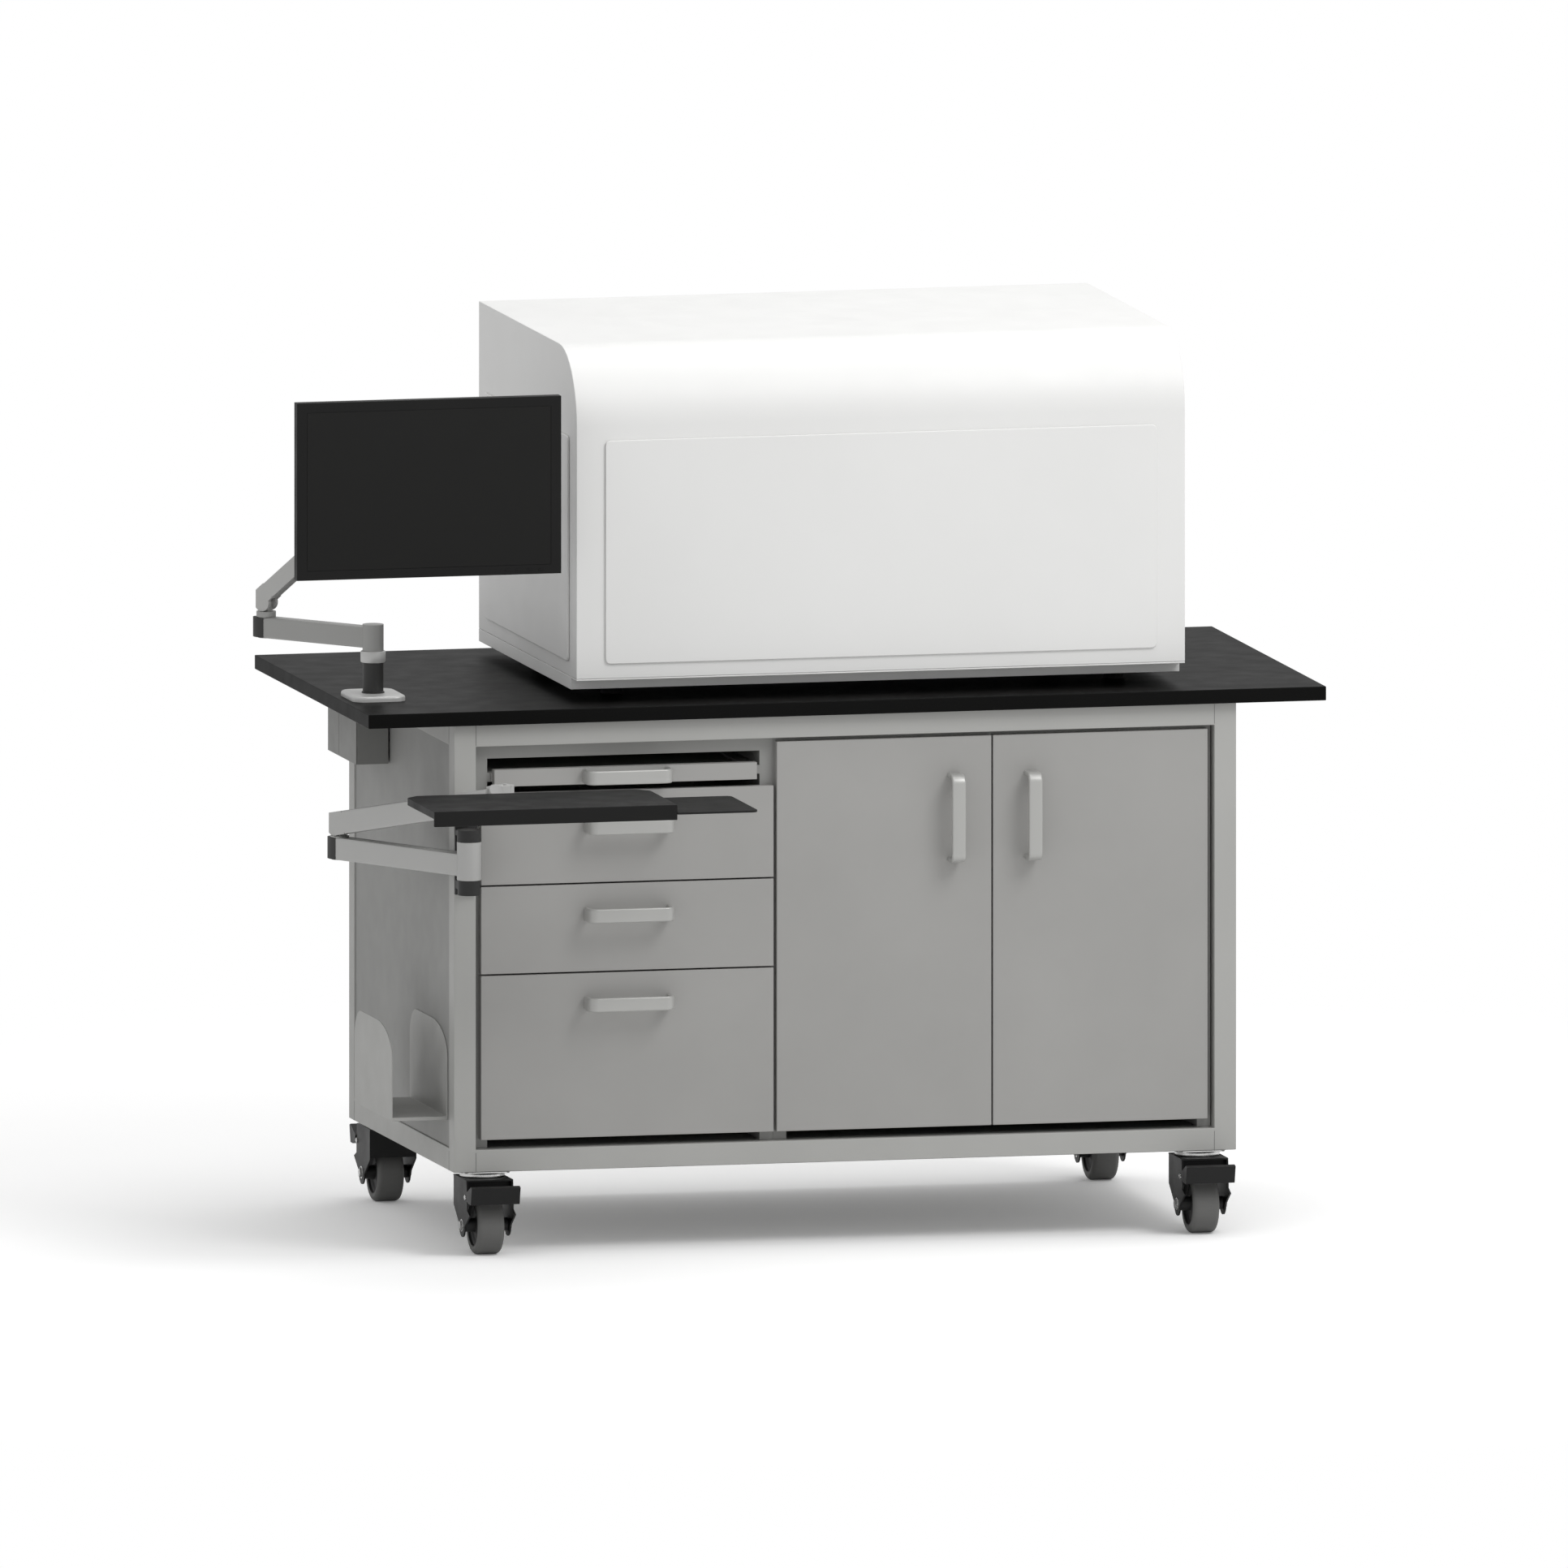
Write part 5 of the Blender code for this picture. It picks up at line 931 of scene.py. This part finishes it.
@dataclass
class Casters:
    """The four braked casters: enamelled forks and pedals, bright fixings and rounded treads."""

    wheel_radius: float = 0.054
    half_width: float = 0.025
    tread_depth: float = 0.015
    shoulder: float = 0.009
    web_recess: float = 0.008
    hub_radius: float = 0.012
    bolt_radius: float = 0.0092
    bolt_height: float = 0.0048
    rivet_radius: float = 0.0048
    race_radius: float = 0.0405
    plate: float = 0.084
    plate_corner: float = 0.008
    plate_thickness: float = 0.003

    def build(self, shop: Workshop) -> None:
        """Finish all four casters."""
        for site in ("front_left", "front_right", "rear_left", "rear_right"):
            shop.ease("caster_fork_" + site, easing=Easing(0.0007, 2))
            shop.ease("caster_pedal_" + site, easing=Easing(0.0012, 3))
            self.wheel(shop, site)
            self.fixings(shop, site)
        LOG.info("casters: four forks, wheels, pedals and their bright fixings")

    def wheel(self, shop: Workshop, site: str) -> None:
        """Model a wheel's tread and its nylon centre."""
        node = "caster_wheel_" + site
        centre = shop.centre(node)
        rim = self.wheel_radius - self.tread_depth
        half = self.half_width
        steps = 10
        side = [(rim, half - 0.0012)]
        for step in range(steps + 1):
            turn = math.radians(90 * step / steps)
            side.append((self.wheel_radius - self.shoulder * (1 - math.sin(turn)),
                         half - self.shoulder * (1 - math.cos(turn))))
        tread = side + [(radius, -height) for radius, height in reversed(side)]
        tyre = Solid.turned(tread, centre, Axis.X)
        piece = shop.add(node + "_tread", tyre, TREAD, shop.bodies[node], smooth=50)
        shop.stand_for(node)
        length = (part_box(node)[1].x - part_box(node)[0].x) / 2
        web = half - self.web_recess
        boss = self.hub_radius
        face = [(boss * 0.6, length), (boss, length), (boss + 0.001, web + 0.003), (boss + 0.005, web),
                (rim - 0.006, web), (rim - 0.002, web + 0.003), (rim - 0.001, half - 0.0005),
                (rim + 0.0005, half - 0.001)]
        centre_profile = face + [(radius, -height) for radius, height in reversed(face)]
        hub = Solid.turned(centre_profile, centre, Axis.X)
        shop.add(node + "_centre", hub, HUB, shop.bodies[node], smooth=35)

    def fixings(self, shop: Workshop, site: str) -> None:
        """Model the axle bolt, pedal rivet, race ring and top plate."""
        node = "caster_fork_" + site
        body = shop.bodies[node]
        low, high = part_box(node)
        axle = shop.pivots["caster_roll_" + site]
        pedal = shop.pivots["caster_brake_" + site]
        bolts, rivets = [], []
        for x, way in ((low.x, -1), (high.x, 1)):
            foot = way * -self.bolt_height
            radius = self.bolt_radius
            head = [(0, foot), (radius, foot), (radius, way * -0.0006), (radius * 0.82, way * SKIN),
                    (0, way * SKIN)]
            bolts.append(Solid.turned(head, Vector((x, axle.y, axle.z)), Axis.X, 6))
            rim = radius * 1.25
            washer = [(rim, foot), (rim, foot + way * 0.0010), (radius, foot + way * 0.0012)]
            bolts.append(Solid.turned(washer, Vector((x, axle.y, axle.z)), Axis.X, 48))
            radius = self.rivet_radius
            inner = -self.bolt_height / 2
            dome = [(radius, way * -self.bolt_height), (radius, way * (inner + 0.0002)),
                    (radius * 0.7, way * (inner + 0.0012)), (0, way * (inner + 0.0016))]
            rivets.append(Solid.turned(dome, Vector((x, pedal.y, pedal.z)), Axis.X, 32))
        shop.add(node + "_bolts", Solid.joined(bolts), ZINC, body, smooth=25)
        shop.add(node + "_rivets", Solid.joined(rivets), ZINC, body)
        swivel = shop.pivots["caster_swivel_" + site]
        top = Vector((swivel.x, swivel.y, high.z))
        outer = self.race_radius + 0.0006
        ring = [(outer - 0.003, -0.0088), (outer, -0.0080), (outer + 0.0008, -0.0055), (outer, -0.0030),
                (outer + 0.0004, -0.0012), (outer - 0.004, 0)]
        shop.add(node + "_race", Solid.turned(ring, top, Axis.Z), ZINC, body, smooth=50)
        side = 2 * (self.plate / 2 + SKIN)
        outline = Solid.rounded(side, side, self.plate_corner)
        place = Vector((swivel.x, swivel.y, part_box("frame")[0].z))
        plate = Solid.prism(outline, -SKIN / 2, self.plate_thickness + SKIN, place, Axis.Z)
        shop.add("caster_plate_" + site, plate, ZINC, "root", Easing(0.0005, 2))


@dataclass
class Studio:
    """The photograph's camera, and a soft white studio round the bench.

    Attributes:
        azimuth: The camera's turn about +Z, in degrees.
        elevation: Its angle above the horizon, in degrees.
        span: Width of the picture on the bench, in metres.
        aim_left: How far left of the worktop's middle the picture is centred.
        aim_height: Height of the picture's middle.
        distance: From the aim to the camera.
        floor_half: Half the floor's side.
        ambient: Strength of the white surroundings, as light.
        lamps: Each lamp's name, place from the aim, side and power.
    """

    azimuth: float = -13.40
    elevation: float = 7.225
    span: float = 2.867
    aim_left: float = 0.0121
    aim_height: float = 0.7956
    distance: float = 8.0
    floor_half: float = 14.0
    ambient: float = 0.62
    lamps: tuple[tuple[str, Stretch, float, float], ...] = (
        ("key_light", (2.4, -3.8, 4.4), 2.6, 124.0),
        ("top_light", (0.4, 0.3, 4.2), 3.4, 60.0),
    )

    def build(self, shop: Workshop) -> None:
        """Make the floor, the world, the lamps and the camera."""
        low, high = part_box("worktop")
        middle = (low + high) / 2
        aim = Vector((middle.x - self.aim_left, middle.y, self.aim_height))
        self.floor(shop)
        self.world()
        for name, offset, size, power in self.lamps:
            self.lamp(name, aim, Vector(offset), size, power)
        self.camera(aim)
        bpy.context.scene.view_settings.view_transform = "Standard"
        LOG.info("studio: floor, world, two lamps and the camera")

    def floor(self, shop: Workshop) -> None:
        """Lay the floor."""
        half = self.floor_half
        solid = bmesh.new()
        bmesh.ops.create_grid(solid, x_segments=2, y_segments=2, size=half)
        mesh = bpy.data.meshes.new("floor")
        solid.to_mesh(mesh)
        solid.free()
        mesh.materials.append(shop.material(FloorFinish()))
        floor = bpy.data.objects.new("floor", mesh)
        bpy.context.scene.collection.objects.link(floor)

    def world(self) -> None:
        """Give soft ambient light, and white to the camera and to reflections."""
        world = bpy.data.worlds.new("studio_white")
        bpy.context.scene.world = world
        world.use_nodes = True
        tree = world.node_tree
        tree.nodes.clear()
        path = tree.nodes.new("ShaderNodeLightPath")
        seen = tree.nodes.new("ShaderNodeMath")
        seen.operation = "MAXIMUM"
        tree.links.new(path.outputs["Is Camera Ray"], seen.inputs[0])
        tree.links.new(path.outputs["Is Transmission Ray"], seen.inputs[1])
        strength = tree.nodes.new("ShaderNodeMapRange")
        tree.links.new(seen.outputs["Value"], strength.inputs["Value"])
        strength.inputs["To Min"].default_value = self.ambient
        strength.inputs["To Max"].default_value = 1.0
        background = tree.nodes.new("ShaderNodeBackground")
        background.inputs["Color"].default_value = (1.0, 1.0, 1.0, 1.0)
        tree.links.new(strength.outputs["Result"], background.inputs["Strength"])
        output = tree.nodes.new("ShaderNodeOutputWorld")
        tree.links.new(background.outputs["Background"], output.inputs["Surface"])

    def lamp(self, name: str, aim: Vector, offset: Vector, size: float, power: float) -> None:
        """Hang a square soft lamp that faces the aim.

        Args:
            name: The lamp's name.
            aim: The point that it faces.
            offset: Its place from the aim.
            size: Its side, in metres.
            power: Its power, in watts.
        """
        data = bpy.data.lights.new(name, "AREA")
        data.shape = "SQUARE"
        data.size = size
        data.energy = power
        lamp = bpy.data.objects.new(name, data)
        lamp.location = aim + offset
        lamp.rotation_mode = "QUATERNION"
        lamp.rotation_quaternion = (-offset).to_track_quat("-Z", "Y")
        bpy.context.scene.collection.objects.link(lamp)

    def camera(self, aim: Vector) -> None:
        """Set the photograph's orthographic camera."""
        turn = math.radians(self.azimuth)
        rise = math.radians(self.elevation)
        back = Vector((math.sin(turn) * math.cos(rise), -math.cos(turn) * math.cos(rise), math.sin(rise)))
        data = bpy.data.cameras.new("photo_camera")
        data.type = "ORTHO"
        data.ortho_scale = self.span
        data.clip_end = 40.0
        camera = bpy.data.objects.new("photo_camera", data)
        camera.location = aim + back * self.distance
        camera.rotation_mode = "QUATERNION"
        camera.rotation_quaternion = (-back).to_track_quat("-Z", "Y")
        bpy.context.scene.collection.objects.link(camera)
        bpy.context.scene.camera = camera


def main() -> None:
    """Build every sub-assembly's looks and the studio, in order."""
    logging.basicConfig(level=logging.INFO, format="%(message)s")
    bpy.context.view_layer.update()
    shop = Workshop()
    assemblies = (
        Worktop(), FrameAndPanels(), Fronts(), SideFittings(), Enclosure(), MonitorArm(), Monitor(),
        KeyboardArm(), Casters(), Studio())
    for assembly in assemblies:
        assembly.build(shop)
    LOG.info("%d pieces", shop.count)


if __name__ == "__main__":
    main()
